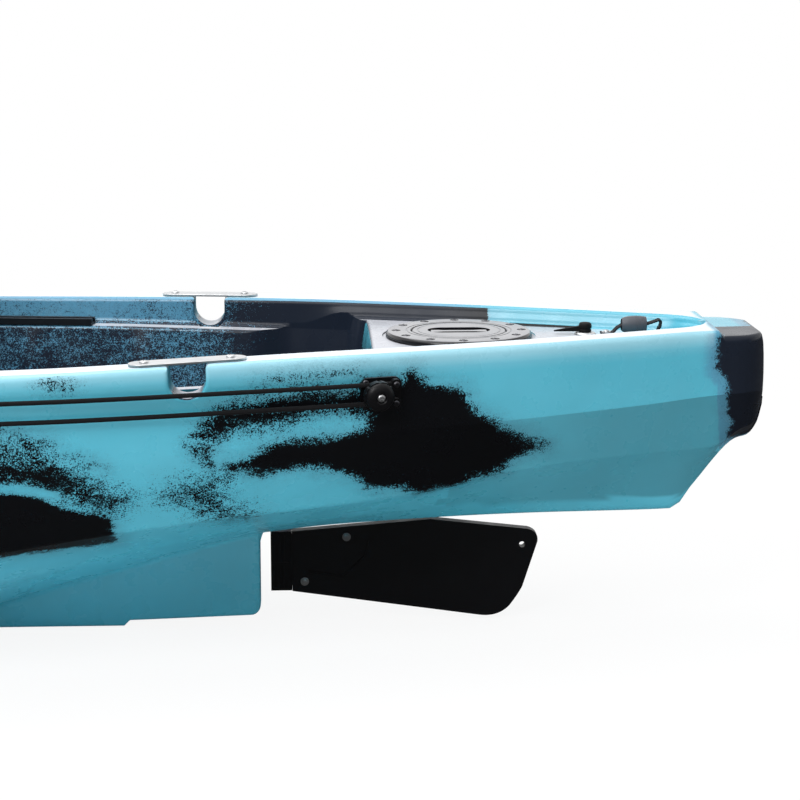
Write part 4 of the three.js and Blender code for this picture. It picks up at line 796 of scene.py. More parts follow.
def hullSection(s, withSkeg=True):
    b, bottom, top, sheer = float(halfBeam(s)), float(bottomLine(s)), float(topLine(s)), float(sheerLine(s))
    depth = sheer - bottom
    pad = min(float(padLine(s)), 0.45 * b)
    chine = 0.8 * b
    chineZ = min(max(float(chineLine(s)), bottom + 0.15 * depth), bottom + 0.55 * depth)
    knuckleZ = min(max(float(knuckleLine(s)), chineZ + 0.1 * depth), sheer - 0.2 * depth)
    side = b - min(6, 0.05 * b)
    roundness = min(hullSizes["rimRound"], 0.3 * b, 0.2 * depth)
    soft = min(0.06 * b, 14)
    half = min(hullSizes["skegHalf"], 0.7 * pad)
    fin = skegBottom(s) if withSkeg else None
    low = bottom
    if fin is not None and fin < bottom - 0.5:
        low = fin
        edge, nose = hullSizes["skegEdge"], 9
        if s < edge + nose:
            half *= 0.72 + 0.28 * math.sqrt(max(0.0, 1 - ((edge + nose - max(s, edge)) / nose) ** 2))
    corners = [((0, low), 0, 1), ((half, low), hullSizes["skegRound"], 4),
               ((half, bottom), hullSizes["skegRoot"], 6), ((pad + 14, bottom + 1.5), 60, 4),
               (((pad + chine) / 2, (bottom + chineZ) / 2 - 0.02 * b), 260, 4),
               ((chine, chineZ), 1.1 * soft, 6),
               (((chine + side) / 2 + 0.01 * b, (chineZ + knuckleZ) / 2), 200, 4),
               ((side, knuckleZ), float(creaseRound(s)), 4),
               ((b, top - 2 * roundness), 60, 3), ((b, top), roundness, 6), ((0, top), 0, 1)]
    line = roundedLine(corners)
    filled = []
    for i, p in enumerate(line):
        filled.append(p)
        extra = sectionFill.get(i, 0)
        filled += [p + (line[i + 1] - p) * (k + 1) / (extra + 1) for k in range(extra)]
    return np.array(filled)


def sideAt(s, z):
    section = hullSection(s)
    start = len(section) // 3
    return float(np.interp(z, section[start:-1, 1], section[start:-1, 0]))


def hullRing(s, by=0.0):
    half = hullSection(s, withSkeg=not by)
    if by:
        run = np.gradient(half, axis=0)
        size = np.linalg.norm(run, axis=1)
        run /= np.where(size < 1e-9, 1, size)[:, None]
        half = half + by * np.stack([-run[:, 1], run[:, 0]], 1)
        half[0, 0] = half[-1, 0] = 0
    full = np.vstack([half, half[1:-1][::-1] * [-1, 1]])
    return np.column_stack([np.full(len(full), float(s)), full])


hullStations = sorted({0, 1, 2, 3.2, 4.6, 6.4, 9, 12, 15, 19, 24, 29, 35, 41, 48, 55, 62, 68, 71.9, 72.5,
                       74.5, 77, 79.5, 80.5, 84, *range(90, 690, 14), 692, 697, 700, 702, 704, 706, 708,
                       709.5, 711, 711.9, 712.1, 712.7, 713.5, 714.6, 716, 717.8, 720, 723, 726.2, 731,
                       *range(740, 890, 14), 892, 897.5, 898.5, 901, 903, 905.5, 906.5, 912,
                       *range(926, 1300, 14), *range(1310, 3300, 24), *range(3310, 3560, 12), 3562, 3570,
                       3577, 3584, 3590, 3595, 3600})


# Wells: levels of offset plan outlines, with a rounded top edge and a rounded foot
def planOutline(first, last, half, corner, step=13.0):
    ahead = [first + corner * (1 - math.cos(math.radians(a))) for a in np.linspace(0, 90, 9)]
    straight = list(np.linspace(first + corner, last - corner,
                                max(2, int((last - first - 2 * corner) / step))))[1:-1]
    back = [first + last - s for s in ahead][::-1]
    run = ahead + straight + back
    port = []
    for s in run:
        away = max(0.0, 1 - min(s - first, last - s) / corner)
        port.append((s, float(half(s)) - corner * (1 - math.sqrt(max(0.0, 1 - away * away)))))
    ends = []
    for s, y in (port[-1], port[0]):
        ends.append([(s, v) for v in np.linspace(y, -y, max(3, int(2 * y / step)))[1:-1]])
    starboard = [(s, -y) for s, y in port[::-1]]
    return np.array((port + ends[0] + starboard + [(s, -v) for s, v in ends[1]])[::-1])


def outwardNormals(outline):
    run = np.roll(outline, -1, axis=0) - np.roll(outline, 1, axis=0)
    normal = np.column_stack([run[:, 1], -run[:, 0]])
    return normal / np.linalg.norm(normal, axis=1)[:, None]


# Faces across a plan outline, from each starboard point to its port one
def stripFaces(s, start):
    n = len(s)
    aft = int(np.sum(np.isclose(s[:n // 2], s[0]))) - 1
    fore = int(np.sum(np.isclose(s, s.max()))) - 2
    run = (n - aft - fore) // 2
    faces = [[aft + j, aft + j + 1, n - 2 - j, n - 1 - j] for j in range(run - 1)]
    faces += [[n - 1, *range(aft + 1)], list(range(aft + run - 1, aft + run + fore + 1))]
    return [[start + i for i in face] for face in faces]


def levelSolid(outline, levels, capRings=1, crown=None):
    normals = outwardNormals(outline)
    rings = []
    for offset, z in levels:
        plan = outline + normals * np.broadcast_to(offset, len(outline))[:, None]
        rings.append(np.column_stack([plan, np.broadcast_to(z, len(outline))]))
    floor = rings[-1]
    for k in range(1, capRings):
        ring = floor.copy()
        ring[:, 0] += (ring[:, 0].mean() - ring[:, 0]) * 0.002 * k
        ring[:, 1] *= 1 - k / capRings
        if crown:
            ring[:, 2] = crown(ring[:, 0], ring[:, 1])
        rings.append(ring)
    points, faces = skin(rings)
    if crown:
        faces = faces[:-1] + stripFaces(outline[:, 0], len(points) - len(outline))
    return points, faces


def wellLevels(outline, topZ, topRound, floorZ, draft, foot, rise=560.0, inner=True, grow=0.0):
    n = len(outline)
    topZ, topRound, floorZ = (np.broadcast_to(np.asarray(v, float), n) for v in (topZ, topRound, floorZ))
    if grow:
        return [(grow, rise), (grow, topZ), (grow - draft, floorZ - grow + foot),
                (grow - draft - foot, floorZ - grow)]
    levels = [(topRound * 0, rise), (topRound * 0, topZ + 0.5),
              (topRound, topZ + 0.3)] if inner else [(topRound, rise)]
    for a in np.radians([90, 72, 54, 36, 18, 0]):
        levels.append((topRound * (1 - math.cos(a)), topZ + 0.05 - topRound * (1 - math.sin(a))))
    wallTop = topZ - topRound
    for share in (0.25, 0.5, 0.75):
        levels.append((-draft * share, wallTop + (floorZ + foot - wallTop) * share))
    for a in np.radians([0, 18, 36, 54, 72, 90]):
        levels.append((-draft - foot + foot * math.cos(a), floorZ + foot - foot * math.sin(a)))
    return levels


def platformHeight(s, y):
    half = insideRim(s)
    high = hullSizes["platformZ"] + hullSizes["crown"] * np.clip(1 - (y / half) ** 2, 0, 1)
    return high + (hullSizes["ledgeZ"] - high) * ramp(hullSizes["stepFrom"], hullSizes["stepTo"], s)


def recess(grow=0.0):
    outline = planOutline(hullSizes["platformFrom"], hullSizes["cockpitTo"] + 14, insideRim, 46)
    floor = platformHeight(outline[:, 0], outline[:, 1])
    levels = wellLevels(outline, sheerLine(outline[:, 0]), 8.0, floor, 4.0, 9.0, inner=False, grow=grow)
    return levelSolid(outline, levels, 10, lambda s, y: platformHeight(s, y) - grow)


wallRibs = [(896, 26), (1067, 29)]


def tankwell(grow=0.0):
    half = lambda s: float(insideRim(s)) - 4.2 - (hullSizes["ledgeWidth"] - 2) * float(ramp(666, 731, s))
    outline = planOutline(hullSizes["tankwellFrom"], hullSizes["tankwellTo"], half, 28)
    s, y = outline.T
    atAft = s < hullSizes["tankwellFrom"] + 1
    pitchAlong = np.where(atAft, 9 * (1 - ramp(0.82, 1.0, np.abs(y) / half(560))), 6 * ramp(700, 745, s))
    top = np.where(s < 575, platformHeight(s, y), hullSizes["ledgeZ"])
    levels = wellLevels(outline, top, pitchAlong, hullSizes["tankwellFloor"], 20.0, 15.0, grow=grow)
    if not grow:
        push = sum(4.0 * (ramp(a - w / 2 - 3, a - w / 2, s) - ramp(a + w / 2, a + w / 2 + 3, s))
                   for a, w in wallRibs)
        push = np.where(np.abs(y) > 100, push, 0)
        levels = [(offset - push * ramp(-372, -366, -np.asarray(z)), z) for offset, z in levels]
    return levelSolid(outline, levels)


def seatBay(grow=0.0):
    outline = planOutline(hullSizes["cockpitFrom"], hullSizes["seatBayTo"],
                          lambda s: hullSizes["seatBayHalf"], 36)
    return levelSolid(outline, wellLevels(outline, hullSizes["ledgeZ"], 6.0, hullSizes["seatShelf"], 8.0,
                                          10.0, grow=grow))


def footwell(grow=0.0):
    narrow, wide = hullSizes["channelHalf"], hullSizes["footwellHalf"]
    seatEnd, foreEnd = hullSizes["seatBayTo"], hullSizes["cockpitTo"]
    half = lambda s: (narrow + (wide - narrow) * float(ramp(seatEnd, seatEnd + 90, s))
                      - 50 * float(ramp(foreEnd - 500, foreEnd, s)))
    outline = planOutline(hullSizes["cockpitFrom"] + 4, hullSizes["cockpitTo"], half, 44)
    s, y = outline.T
    top = np.where(s < hullSizes["seatBayTo"] - 6, hullSizes["seatShelf"], hullSizes["ledgeZ"])
    edge = 6 * (1 - ramp(1770, 1784, s) + ramp(1800, 1830, s)) * ramp(1352, 1380, s)
    return levelSolid(outline, wellLevels(outline, top, edge, hullSizes["footwellFloor"], 22.0, 16.0,
                                          grow=grow))


def circle(s, y, radius, count=48):
    turns = np.linspace(0, 2 * math.pi, count, endpoint=False)
    return np.column_stack([s + radius * np.cos(turns), y + radius * np.sin(turns)])


def throughHole(outline, topZ, lowZ, topRound, lowRound, grow=0.0):
    if grow:
        return levelSolid(outline, [(grow, topZ), (grow, lowZ - 30)])
    levels = [(0, topZ + 60), (0, topZ + 0.5), (topRound, topZ + 0.3)]
    levels += [(topRound * (1 - math.cos(a)), topZ + 0.05 - topRound * (1 - math.sin(a)))
               for a in np.radians([90, 60, 30, 0])]
    if lowRound:
        levels += [(lowRound * (1 - math.cos(a)), lowZ - 0.05 + lowRound * (1 - math.sin(a)))
                   for a in np.radians([0, 30, 60, 90])]
    levels.append((lowRound, lowZ - 30))
    return levelSolid(outline, levels)


def driveSlot(grow=0.0):
    plan = np.array(slotOutline(hullSizes["slotLength"], hullSizes["slotWidth"]))
    return throughHole(plan + [hullSizes["slotAt"], 0], hullSizes["footwellFloor"], 0, 6, 6, grow)


scuppers = [(1170, 150, 255), (1170, -150, 255), (2520, 120, 150), (2520, -120, 150)]


def drains(grow=0.0):
    return [throughHole(circle(s, y, hullSizes["drainRadius"]), top, 0, 4, 0, grow) for s, y, top in scuppers]


# U-shaped notch through the rim, rounded where it meets both faces and the top
def rimNotch(side, grow=0.0):
    e = hullSizes["edgeRound"]
    top = float(sheerLine(hullSizes["notchAt"]))
    half, bottom = hullSizes["notchHalf"] + grow, top - hullSizes["notchDepth"] - grow
    lower = [(half * math.cos(a), bottom + half + half * math.sin(a), math.cos(a), math.sin(a))
             for a in np.radians(np.linspace(0, -180, 21))]
    flare = [(half + e * (1 - math.cos(a)), top - e + e * math.sin(a), 1, 0)
             for a in np.radians([0, 22, 45, 68, 90])]
    if grow:
        flare = [(half, top + 20, 1, 0)]
    right = flare + [(flare[-1][0], 560, 1, 0)]
    left = [(-x, z, -u, w) for x, z, u, w in right]
    outline = right[::-1] + lower + left
    outerFace = lambda s, z: sideAt(s, min(z, top - 12))
    innerFace = lambda s, z: float(insideRim(s)) - 2
    rings = []
    steps = [(-14, e), (0, e), (0.1 * e, 0.56 * e), (0.3 * e, 0.29 * e), (0.6 * e, 0.08 * e), (e, 0)]
    if grow:
        steps = [(-14, 0), (0, 0)]
    for face, sign, order in ((innerFace, -1, steps), (outerFace, 1, steps[::-1])):
        for inward, spread in order:
            ring = []
            for x, z, u, w in outline:
                s, height = hullSizes["notchAt"] + x + u * spread, z + w * spread
                ring.append((s, side * (face(s, height) - sign * inward), height))
            rings.append(ring)
    return skin(rings)


def hatchOutline(grow, steps=10):
    fore, aft = hullSizes["hatchHalfFore"] + grow, hullSizes["hatchHalfAft"] + grow
    to, bend = hullSizes["hatchLength"] + grow, max(6.0, hullSizes["hatchCorner"] + grow)
    corners = [((-grow, -aft), bend, steps), ((to, -fore), bend, steps), ((to, fore), bend, steps),
               ((-grow, aft), bend, steps)]
    return np.array(roundedLine(corners, closed=True))


def lug(y):
    outline = [(-10, 438), (10, 438)] + arc(0, hullSizes["hingeZ"], 8, 0, 180, 10)
    return moved(sideways(outline, 12), at(hullSizes["hingeAt"], y, 0))


def rodHolderPlace(side):
    place = at(hullSizes["rodHolderAt"], side * hullSizes["rodHolderSide"], hullSizes["ledgeZ"])
    return place @ turned(-hullSizes["rodHolderLean"], "Y")


hullNodes = ["hull_stern", "hull_tankwell", "hull_seat", "hull_slot", "hull_footwell", "hull_bow"]


def buildHull():
    hull = makeObject("hullShell", skin([hullRing(s) for s in hullStations]))
    faceOutwards(hull)
    boolean(hull, [lug(60), lug(-60)], "UNION")
    cuts = [recess(), tankwell(), seatBay(), footwell(), driveSlot(), *drains(), rimNotch(1), rimNotch(-1)]
    boolean(hull, cuts, "DIFFERENCE")
    seatZ = hullSizes["plateSeatZ"]
    seat = lathe([(0, 400), (107.5, 400), (107.5, seatZ - 2), (107, seatZ - 0.8), (106, seatZ), (0, seatZ)],
                 96)
    boolean(hull, [moved(seat, at(hullSizes["plateAt"]))], "UNION")
    hollowAt = [84, *[s for s in hullStations if 96 < s < 3498][::3], 3510]
    hollow = makeObject("hollow", skin([hullRing(s, hullSizes["wall"]) for s in hollowAt]))
    faceOutwards(hollow)
    grown = hullSizes["wall"]
    inner = [recess(grown), tankwell(grown), seatBay(grown), footwell(grown), driveSlot(grown),
             *drains(grown), rimNotch(1, grown), rimNotch(-1, grown),
             moved(post(20, 100, 228, 32), at(hullSizes["rudderAxis"]))]
    boolean(hollow, inner, "DIFFERENCE")
    boolean(hull, [moved(post(107.5, seatZ, 470, 96), at(hullSizes["plateAt"])), hollow], "DIFFERENCE")
    bushSeat = float(bottomLine(hullSizes["rudderAxis"])) - 4
    holes = [moved(post(76.6, 380, 440, 96), at(hullSizes["plateAt"])),
             moved(extruded(hatchOutline(0), 415, 470), at(hullSizes["hatchFrom"])),
             moved(post(13.3, 60, 240, 40), at(hullSizes["rudderAxis"])),
             moved(post(18.6, 60, bushSeat, 40), at(hullSizes["rudderAxis"])),
             moved(rodY(3.3, -90, 90, 24), at(hullSizes["hingeAt"], 0, hullSizes["hingeZ"]))]
    for side in (1, -1):
        holes.append(moved(post(24.3, -60, 30, 40), rodHolderPlace(side)))
    boolean(hull, holes, "DIFFERENCE")
    faceOutwards(hull)
    shade(hull, 34)
    paintCamouflageAndLight(hull)
    return finishPiece(hull, "hull_body", "hull_plastic", hullMaterial, hullNodes)


hullObject = buildHull()
print("stage 3: hull built", len(hullObject.data.polygons), "faces")


# Builds a solid piece, rounds its edges and gives it its finish
def build(name, body, slot, material, nodes, base, add=(), cut=(), place=None, edge=0.6, segments=3,
          angle=32):
    obj = makeSolid(name, base, add, cut, place)
    soften(obj, edge, segments, angle)
    return finishPiece(obj, body, slot, material, nodes)


def prismX(outline, x0, x1):
    points, faces = extruded(outline, x0, x1)
    return points[:, [2, 0, 1]], faces


# Small parts that repeat are placed by this tree on points that carry a direction and a turn
def repeatTree():
    tree = bpy.data.node_groups.new("repeatOnPoints", "GeometryNodeTree")
    face = tree.interface
    face.new_socket("Geometry", in_out="INPUT", socket_type="NodeSocketGeometry")
    for key, kind in (("Part", "NodeSocketObject"), ("Scale", "NodeSocketFloat"),
                      ("Turn Spread", "NodeSocketFloat"), ("Seed", "NodeSocketInt"),
                      ("Material", "NodeSocketMaterial")):
        face.new_socket(key, in_out="INPUT", socket_type=kind)
    face.new_socket("Geometry", in_out="OUTPUT", socket_type="NodeSocketGeometry")
    node, link = tree.nodes.new, tree.links.new
    given, out = node("NodeGroupInput"), node("NodeGroupOutput")
    info = node("GeometryNodeObjectInfo")
    link(given.outputs["Part"], info.inputs["Object"])
    aim, ahead = node("GeometryNodeInputNamedAttribute"), node("GeometryNodeInputNamedAttribute")
    for reader, key in ((aim, "aim"), (ahead, "ahead")):
        reader.data_type = "FLOAT_VECTOR"
        reader.inputs["Name"].default_value = key
    up, forth = node("FunctionNodeAlignRotationToVector"), node("FunctionNodeAlignRotationToVector")
    up.axis, forth.axis = "Z", "X"
    forth.pivot_axis = "Z"
    link(aim.outputs["Attribute"], up.inputs["Vector"])
    link(up.outputs[0], forth.inputs["Rotation"])
    link(ahead.outputs["Attribute"], forth.inputs["Vector"])
    chance = node("FunctionNodeRandomValue")
    chance.data_type = "FLOAT"
    chance.inputs[2].default_value = 0.0
    link(given.outputs["Turn Spread"], chance.inputs[3])
    link(given.outputs["Seed"], chance.inputs["Seed"])
    spin = node("FunctionNodeRotateRotation")
    spin.rotation_space = "LOCAL"
    twist = node("FunctionNodeAxisAngleToRotation")
    twist.inputs["Axis"].default_value = (0, 0, 1)
    link(chance.outputs[1], twist.inputs["Angle"])
    link(forth.outputs[0], spin.inputs["Rotation"])
    link(twist.outputs[0], spin.inputs["Rotate By"])
    place = node("GeometryNodeInstanceOnPoints")
    link(given.outputs["Geometry"], place.inputs["Points"])
    link(info.outputs["Geometry"], place.inputs["Instance"])
    link(spin.outputs[0], place.inputs["Rotation"])
    link(given.outputs["Scale"], place.inputs["Scale"])
    solidify, paint = node("GeometryNodeRealizeInstances"), node("GeometryNodeSetMaterial")
    link(place.outputs[0], solidify.inputs[0])
    link(solidify.outputs[0], paint.inputs["Geometry"])
    link(given.outputs["Material"], paint.inputs["Material"])
    link(paint.outputs[0], out.inputs[0])
    return tree


repeatOnPoints = repeatTree()


# Points are (place, aim, ahead) in the holder's millimetres; the part is a mesh object in metres
def repeatPart(name, part, points, body, slot, material, place=None, spread=6.28, seed=3, nodes=()):
    place = toWorld @ (place or Matrix.Identity(4))
    turn = place.to_3x3().normalized()
    mesh = bpy.data.meshes.new(name)
    mesh.from_pydata([tuple(place @ Vector(p)) for p, _, _ in points], [], [])
    for key, k in (("aim", 1), ("ahead", 2)):
        layer = mesh.attributes.new(key, "FLOAT_VECTOR", "POINT")
        layer.data.foreach_set("vector", [c for p in points for c in turn @ Vector(p[k])])
    obj = bpy.data.objects.new(name, mesh)
    scene.collection.objects.link(obj)
    modifier = obj.modifiers.new("repeat", "NODES")
    modifier.node_group = repeatOnPoints
    sockets = {s.name: s.identifier for s in repeatOnPoints.interface.items_tree if s.in_out == "INPUT"}
    for key, value in (("Part", part), ("Scale", 1.0), ("Turn Spread", spread), ("Seed", seed),
                       ("Material", material)):
        modifier[sockets[key]] = value
    settle(obj)
    shade(obj, 30)
    finishPiece(obj, body, slot, material, nodes)
    return obj


def discard(part):
    mesh = part.data
    bpy.data.objects.remove(part)
    bpy.data.meshes.remove(mesh)


# Pan head with a cross recess, in metres round the origin
def panHead(radius=4.5, height=2.6, washer=0.0):
    profile = [(0, -0.3), (radius, -0.3), (radius, 0.25 * height), (0.96 * radius, 0.5 * height),
               (0.82 * radius, 0.78 * height), (0.55 * radius, 0.95 * height), (0, height)]
    if washer:
        profile = [(0, -0.3), (washer - 0.3, -0.3), (washer, 0), (washer, 0.9), (washer - 0.3, 1.2),
                   (radius, 1.2)] + [
            (r, z + 0.9) for r, z in profile[2:]]
    top = profile[-1][1]
    arms = [block(-0.58 * radius, 0.58 * radius, -0.13 * radius, 0.13 * radius, top - 0.45 * height, top + 2),
            block(-0.13 * radius, 0.13 * radius, -0.58 * radius, 0.58 * radius, top - 0.45 * height, top + 2)]
    return makeSolid("panHead", lathe(profile, 24), (), arms, at(hullLength / 2))


# Heads on a holder: (s, y, z) places with the head's axis
def heads(name, places, body, slot, material, place=None, radius=4.5, height=2.6, washer=0.0, axis=(0, 0, 1),
          seed=3):
    head = panHead(radius, height, washer)
    side = (1, 0, 0) if abs(axis[0]) < 0.9 else (0, 1, 0)
    obj = repeatPart(name, head, [(p, axis, side) for p in places], body, slot, material, place, seed=seed)
    discard(head)
    return obj


# Stern deck
deckPlateSizes = {"at": (430, 0, 411.3), "radius": 102.5, "height": 9.0, "bore": 67.1, "lid": 66.0,
                  "screwCircle": 88.0, "screws": 12, "grip": (88, 44, 8.0)}


def buildDeckPlate():
    d = deckPlateSizes
    place, r, h, bore = at(*d["at"]), d["radius"], d["height"], d["bore"]
    profile = [(bore, h - 1.2), (bore + 1.0, h), (bore + 5.5, h), (bore + 6.0, h - 0.5),
               (bore + 6.8, h - 0.5), (bore + 7.3, h), (r - 6, h), (r - 3, h - 0.6), (r - 0.9, h - 2.6),
               (r, h - 5), (r, 0), (76, 0), (76, -14), (56, -14), (56, -10), (bore, -10)]
    turns = [2 * math.pi * i / d["screws"] for i in range(d["screws"])]
    ring = [(d["screwCircle"] * math.cos(a), d["screwCircle"] * math.sin(a), h - 1.5) for a in turns]
    dimples = [moved(lathe([(0, 0), (5.2, 0), (6.8, 1.6), (6.8, 6), (0, 6)], 32), at(*p)) for p in ring]
    build("deckPlateFlange", "hull_body", "black_plastic", platePlastic, ["deck_plate_flange"],
          lathe(profile, 120), cut=dimples, place=place, edge=0.35, segments=2)
    heads("deckPlateScrews", ring, "hull_body", *blackScrews, place, 4.3, 2.6)
    build("deckPlateSeal", "hull_body", *rubber, ["deck_plate_seal"],
          lathe([(58, -9.7), (65, -9.7), (65, -7.4), (63.5, -6.7), (59.5, -6.7), (58, -7.4)], 72),
          place=place, edge=0)
    longWay, wide, deep = d["grip"]
    disc = lathe([(0, -6.4), (d["lid"], -6.4), (d["lid"], h - 1.6), (d["lid"] - 1.4, h - 0.2),
                  (d["lid"] - 4, h), (0, h)], 120)
    pocket = extruded(slotOutline(longWay, wide), h - deep, h + 6)
    waist = [(-39, -8), (-30, -8), (-22, -5.5), (22, -5.5), (30, -8), (39, -8),
             (39, 8), (30, 8), (22, 5.5), (-22, 5.5), (-30, 8), (-39, 8)]
    bar = extruded(waist, h - deep - 1, h - 1.2)
    groove = lathe([(57.5, h - 0.7), (58.5, h - 0.7), (58.5, h + 2), (57.5, h + 2)], 96)
    obj = makeSolid("deckPlateLid", disc, (), [pocket, groove], place)
    boolean(obj, [moved(bar, place)], "UNION")
    soften(obj, 0.8, 3)
    finishPiece(obj, "deck_lid", "black_plastic", platePlastic, ["deck_plate_lid"])


buildDeckPlate()

bridgeSizes = {"length": 150.0, "width": 32.0, "thick": 3.0, "screws": 110.0}


def rimHolder(s0, s1, side, inward, z, rise=0.0):
    ends = [Vector((s, side * (float(halfBeam(s)) - inward), z(s))) for s in (s0, s1)]
    return along(*ends) @ at(0, 0, rise)


def buildBridges():
    b = bridgeSizes
    for side, name in bothSides:
        s = hullSizes["notchAt"]
        holder = rimHolder(s - b["length"] / 2, s + b["length"] / 2, side, hullSizes["rimWidth"] / 2,
                           lambda v: float(sheerLine(v)), 0.6)
        build(f"bridgePlate_{name}", "hull_body", *stainless, [f"bridge_plate_{name}"],
              extruded(slotOutline(b["length"], b["width"]), 0, b["thick"]), place=holder, edge=0.7)
        heads(f"bridgeScrews_{name}", [(x * b["screws"] / 2, 0, b["thick"]) for x in (-1, 1)], "hull_body",
              *stainless, holder, 6.0, 3.2)


buildBridges()

trackSizes = {"from": 968, "length": 280, "width": 25.0, "height": 10.0, "mouth": 5.0, "slot": 8.0,
              "inboard": 23.5}


def buildTracks():
    t = trackSizes
    half, high, mouth, slot = t["width"] / 2, t["height"], t["mouth"], t["slot"]
    profile = [(-half, 0), (half, 0), (half, high), (mouth, high), (mouth, high - 2.5), (slot, high - 2.5),
               (slot, 3), (-slot, 3), (-slot, high - 2.5), (-mouth, high - 2.5), (-mouth, high),
               (-half, high)]
    for side, name in bothSides:
        holder = rimHolder(t["from"], t["from"] + t["length"], side, hullSizes["rimWidth"] + t["inboard"],
                           lambda v: hullSizes["ledgeZ"] + 0.3)
        marks = [block(x - 0.4, x + 0.4, sign * (half - 4), sign * (half + 1), high - 0.5, high + 1)
                 for x in range(-120, 121, 20) for sign in (1, -1)]
        build(f"track_{name}Rail", "hull_body", *blackMetal, [f"track_{name}"],
              prismX(profile, -t["length"] / 2, t["length"] / 2), cut=marks, place=holder, edge=0.4,
              segments=2)
        heads(f"trackScrews_{name}", [(x * t["length"], 0, 3) for x in (-0.42, 0, 0.42)], "hull_body",
              "stainless", darkSteel, holder, 4.4, 2.4)


buildTracks()
print("stage 4: deck plate, bridges and tracks built")


# Cloth and cord finishes: pieces carry their own run and breadth in mm
def runAlong(path):
    return np.concatenate([[0], np.cumsum(np.linalg.norm(np.diff(path, axis=0), axis=1))])


def setFlow(obj, values, name="flow"):
    layer = obj.data.attributes.new(name, "FLOAT_VECTOR", "POINT")
    layer.data.foreach_set("vector", np.asarray(values, np.float32).ravel())


def weaveGroup():
    make, tree, given, out = newGroup(
        "weave", [("Flow", "NodeSocketVector", None), ("Pitch Along", "NodeSocketFloat", 1.6),
                  ("Pitch Across", "NodeSocketFloat", 1.6),
                  ("Color", "NodeSocketColor", (0.02, 0.02, 0.02, 1)), ("Contrast", "NodeSocketFloat", 0.5),
                  ("Diagonal", "NodeSocketFloat", 0.0)],
        [("Color", "NodeSocketColor"), ("Height", "NodeSocketFloat"), ("Roughness", "NodeSocketFloat")])
    parts = make.make("ShaderNodeSeparateXYZ")
    make.feed(parts, i0=given["Flow"])
    u = make.math("DIVIDE", parts.outputs[0], given["Pitch Along"])
    v = make.math("DIVIDE", parts.outputs[1], given["Pitch Across"])
    cross = make.times(v, given["Diagonal"])
    a = make.plus(u, cross)
    keepV = make.times(v, make.minus(1.0, given["Diagonal"]))
    b = make.plus(keepV, make.times(make.minus(u, v), given["Diagonal"]))
    wave = lambda value: make.math("SINE", make.times(value, 2 * math.pi))
    over = make.times(wave(a), wave(b))
    height = make.plus(make.times(over, 0.5), 0.5)
    fuzz = make.noise(given["Flow"], 2.3, 2.0)
    height = make.plus(make.times(height, 0.85), make.times(fuzz, 0.3))
    # Painted shade and highlight: thread crowns are lighter and the hollows between them darker
    light = make.plus(1.0, make.times(make.minus(height, 0.6), given["Contrast"]))
    tone = make.scaled(given["Color"], light)
    tree.links.new(tone, out["Color"])
    tree.links.new(height, out["Height"])
    tree.links.new(make.plus(0.72, make.times(fuzz, 0.2)), out["Roughness"])
    return tree


weave = weaveGroup()


def cloth(name, color, pitchAlong=1.6, across=1.6, contrast=0.6, diagonal=0.0, depth=0.0005):
    material, make, shader, _ = newMaterial(name, Sheen_Weight=0.04, Specular_IOR_Level=0.2)
    node = make.group(weave, Flow=make.attribute("flow", "Vector"), Color=(*color, 1), Contrast=contrast,
                      Diagonal=diagonal, Pitch_Along=pitchAlong, Pitch_Across=across)
    wire(make, node, shader, Normal=make.bump(node.outputs["Height"], 0.6, depth))
    return material


webbing = cloth("webbing", (0.010, 0.010, 0.013), 2.2, 1.5, 0.9)
cordBraid = cloth("cordBraid", (0.0035, 0.0035, 0.0045), 3.4, 4.7, 0.9, 1.0, 0.0004)
meshCloth = cloth("meshCloth", (0.018, 0.020, 0.025), 4.0, 3.2, 1.1, 0.5, 0.0008)
thread = cloth("thread", (0.10, 0.11, 0.12), 1.0, 1.0, 0.4)


# Round cord with its run and turn kept for the braid
def buildCord(name, path, radius, body, slot, material, nodes=(), sides=14, place=None, closed=False):
    path = np.array(path, float)
    obj = makeObject(name, tube(path, radius, sides, closed), place)
    run = runAlong(path)
    around = 2 * math.pi * radius * np.arange(sides) / sides
    setFlow(obj, [(r, a, 0) for r in run for a in around])
    obj.data.shade_smooth()
    flow = [c for v in obj.data.attributes["flow"].data for c in v.vector]
    faceOutwards(obj, merge=False)
    obj.data.attributes["flow"].data.foreach_set("vector", flow)
    return finishPiece(obj, body, slot, material, nodes)


# Flat strap along an x-z path, rounded at its edges
def buildStrap(name, path, thick, width, body, slot, material, nodes=(), place=None):
    path = np.array(path, float)
    run = runAlong(path)
    tangent = np.gradient(path, axis=0)
    tangent /= np.linalg.norm(tangent, axis=1)[:, None]
    h, w, r = thick / 2, width / 2, thick * 0.3
    cross = [(-w + r, -h), (-w / 2, -h), (0, -h), (w / 2, -h), (w - r, -h), (w, -h + r), (w, h - r),
             (w - r, h), (w / 2, h), (0, h), (-w / 2, h), (-w + r, h), (-w, h - r), (-w, -h + r)]
    rings, flow = [], []
    for (x, z), (tx, tz), runAt in zip(path, tangent, run):
        rings.append([(x - tz * n, y, z + tx * n) for y, n in cross])
        flow += [(runAt, y, n) for y, n in cross]
    obj = makeObject(name, skin(rings), place)
    setFlow(obj, flow)
    faceOutwards(obj, merge=False)
    shade(obj, 50)
    return finishPiece(obj, body, slot, material, nodes)


# Stitches: short thread loops on points
def buildStitches(name, points, body, slot, place=None, length=3.2, radius=0.42):
    path = [(x, 0, 0.5 * radius + 0.9 * radius * math.cos(math.pi * x / length))
            for x in np.linspace(-length / 2, length / 2, 5)]
    stitch = makeObject("stitch", tube(path, radius, 6), at(hullLength / 2))
    faceOutwards(stitch)
    obj = repeatPart(name, stitch, points, body, slot, thread, place, spread=0.0)
    discard(stitch)
    return obj


keeperSizes = {"at": 556, "z": 381, "front": 1180, "knob": 20.0, "cord": 3.0, "spread": 12.5,
               "clampBack": 25.0, "base": 4.0, "standoff": 8.0}


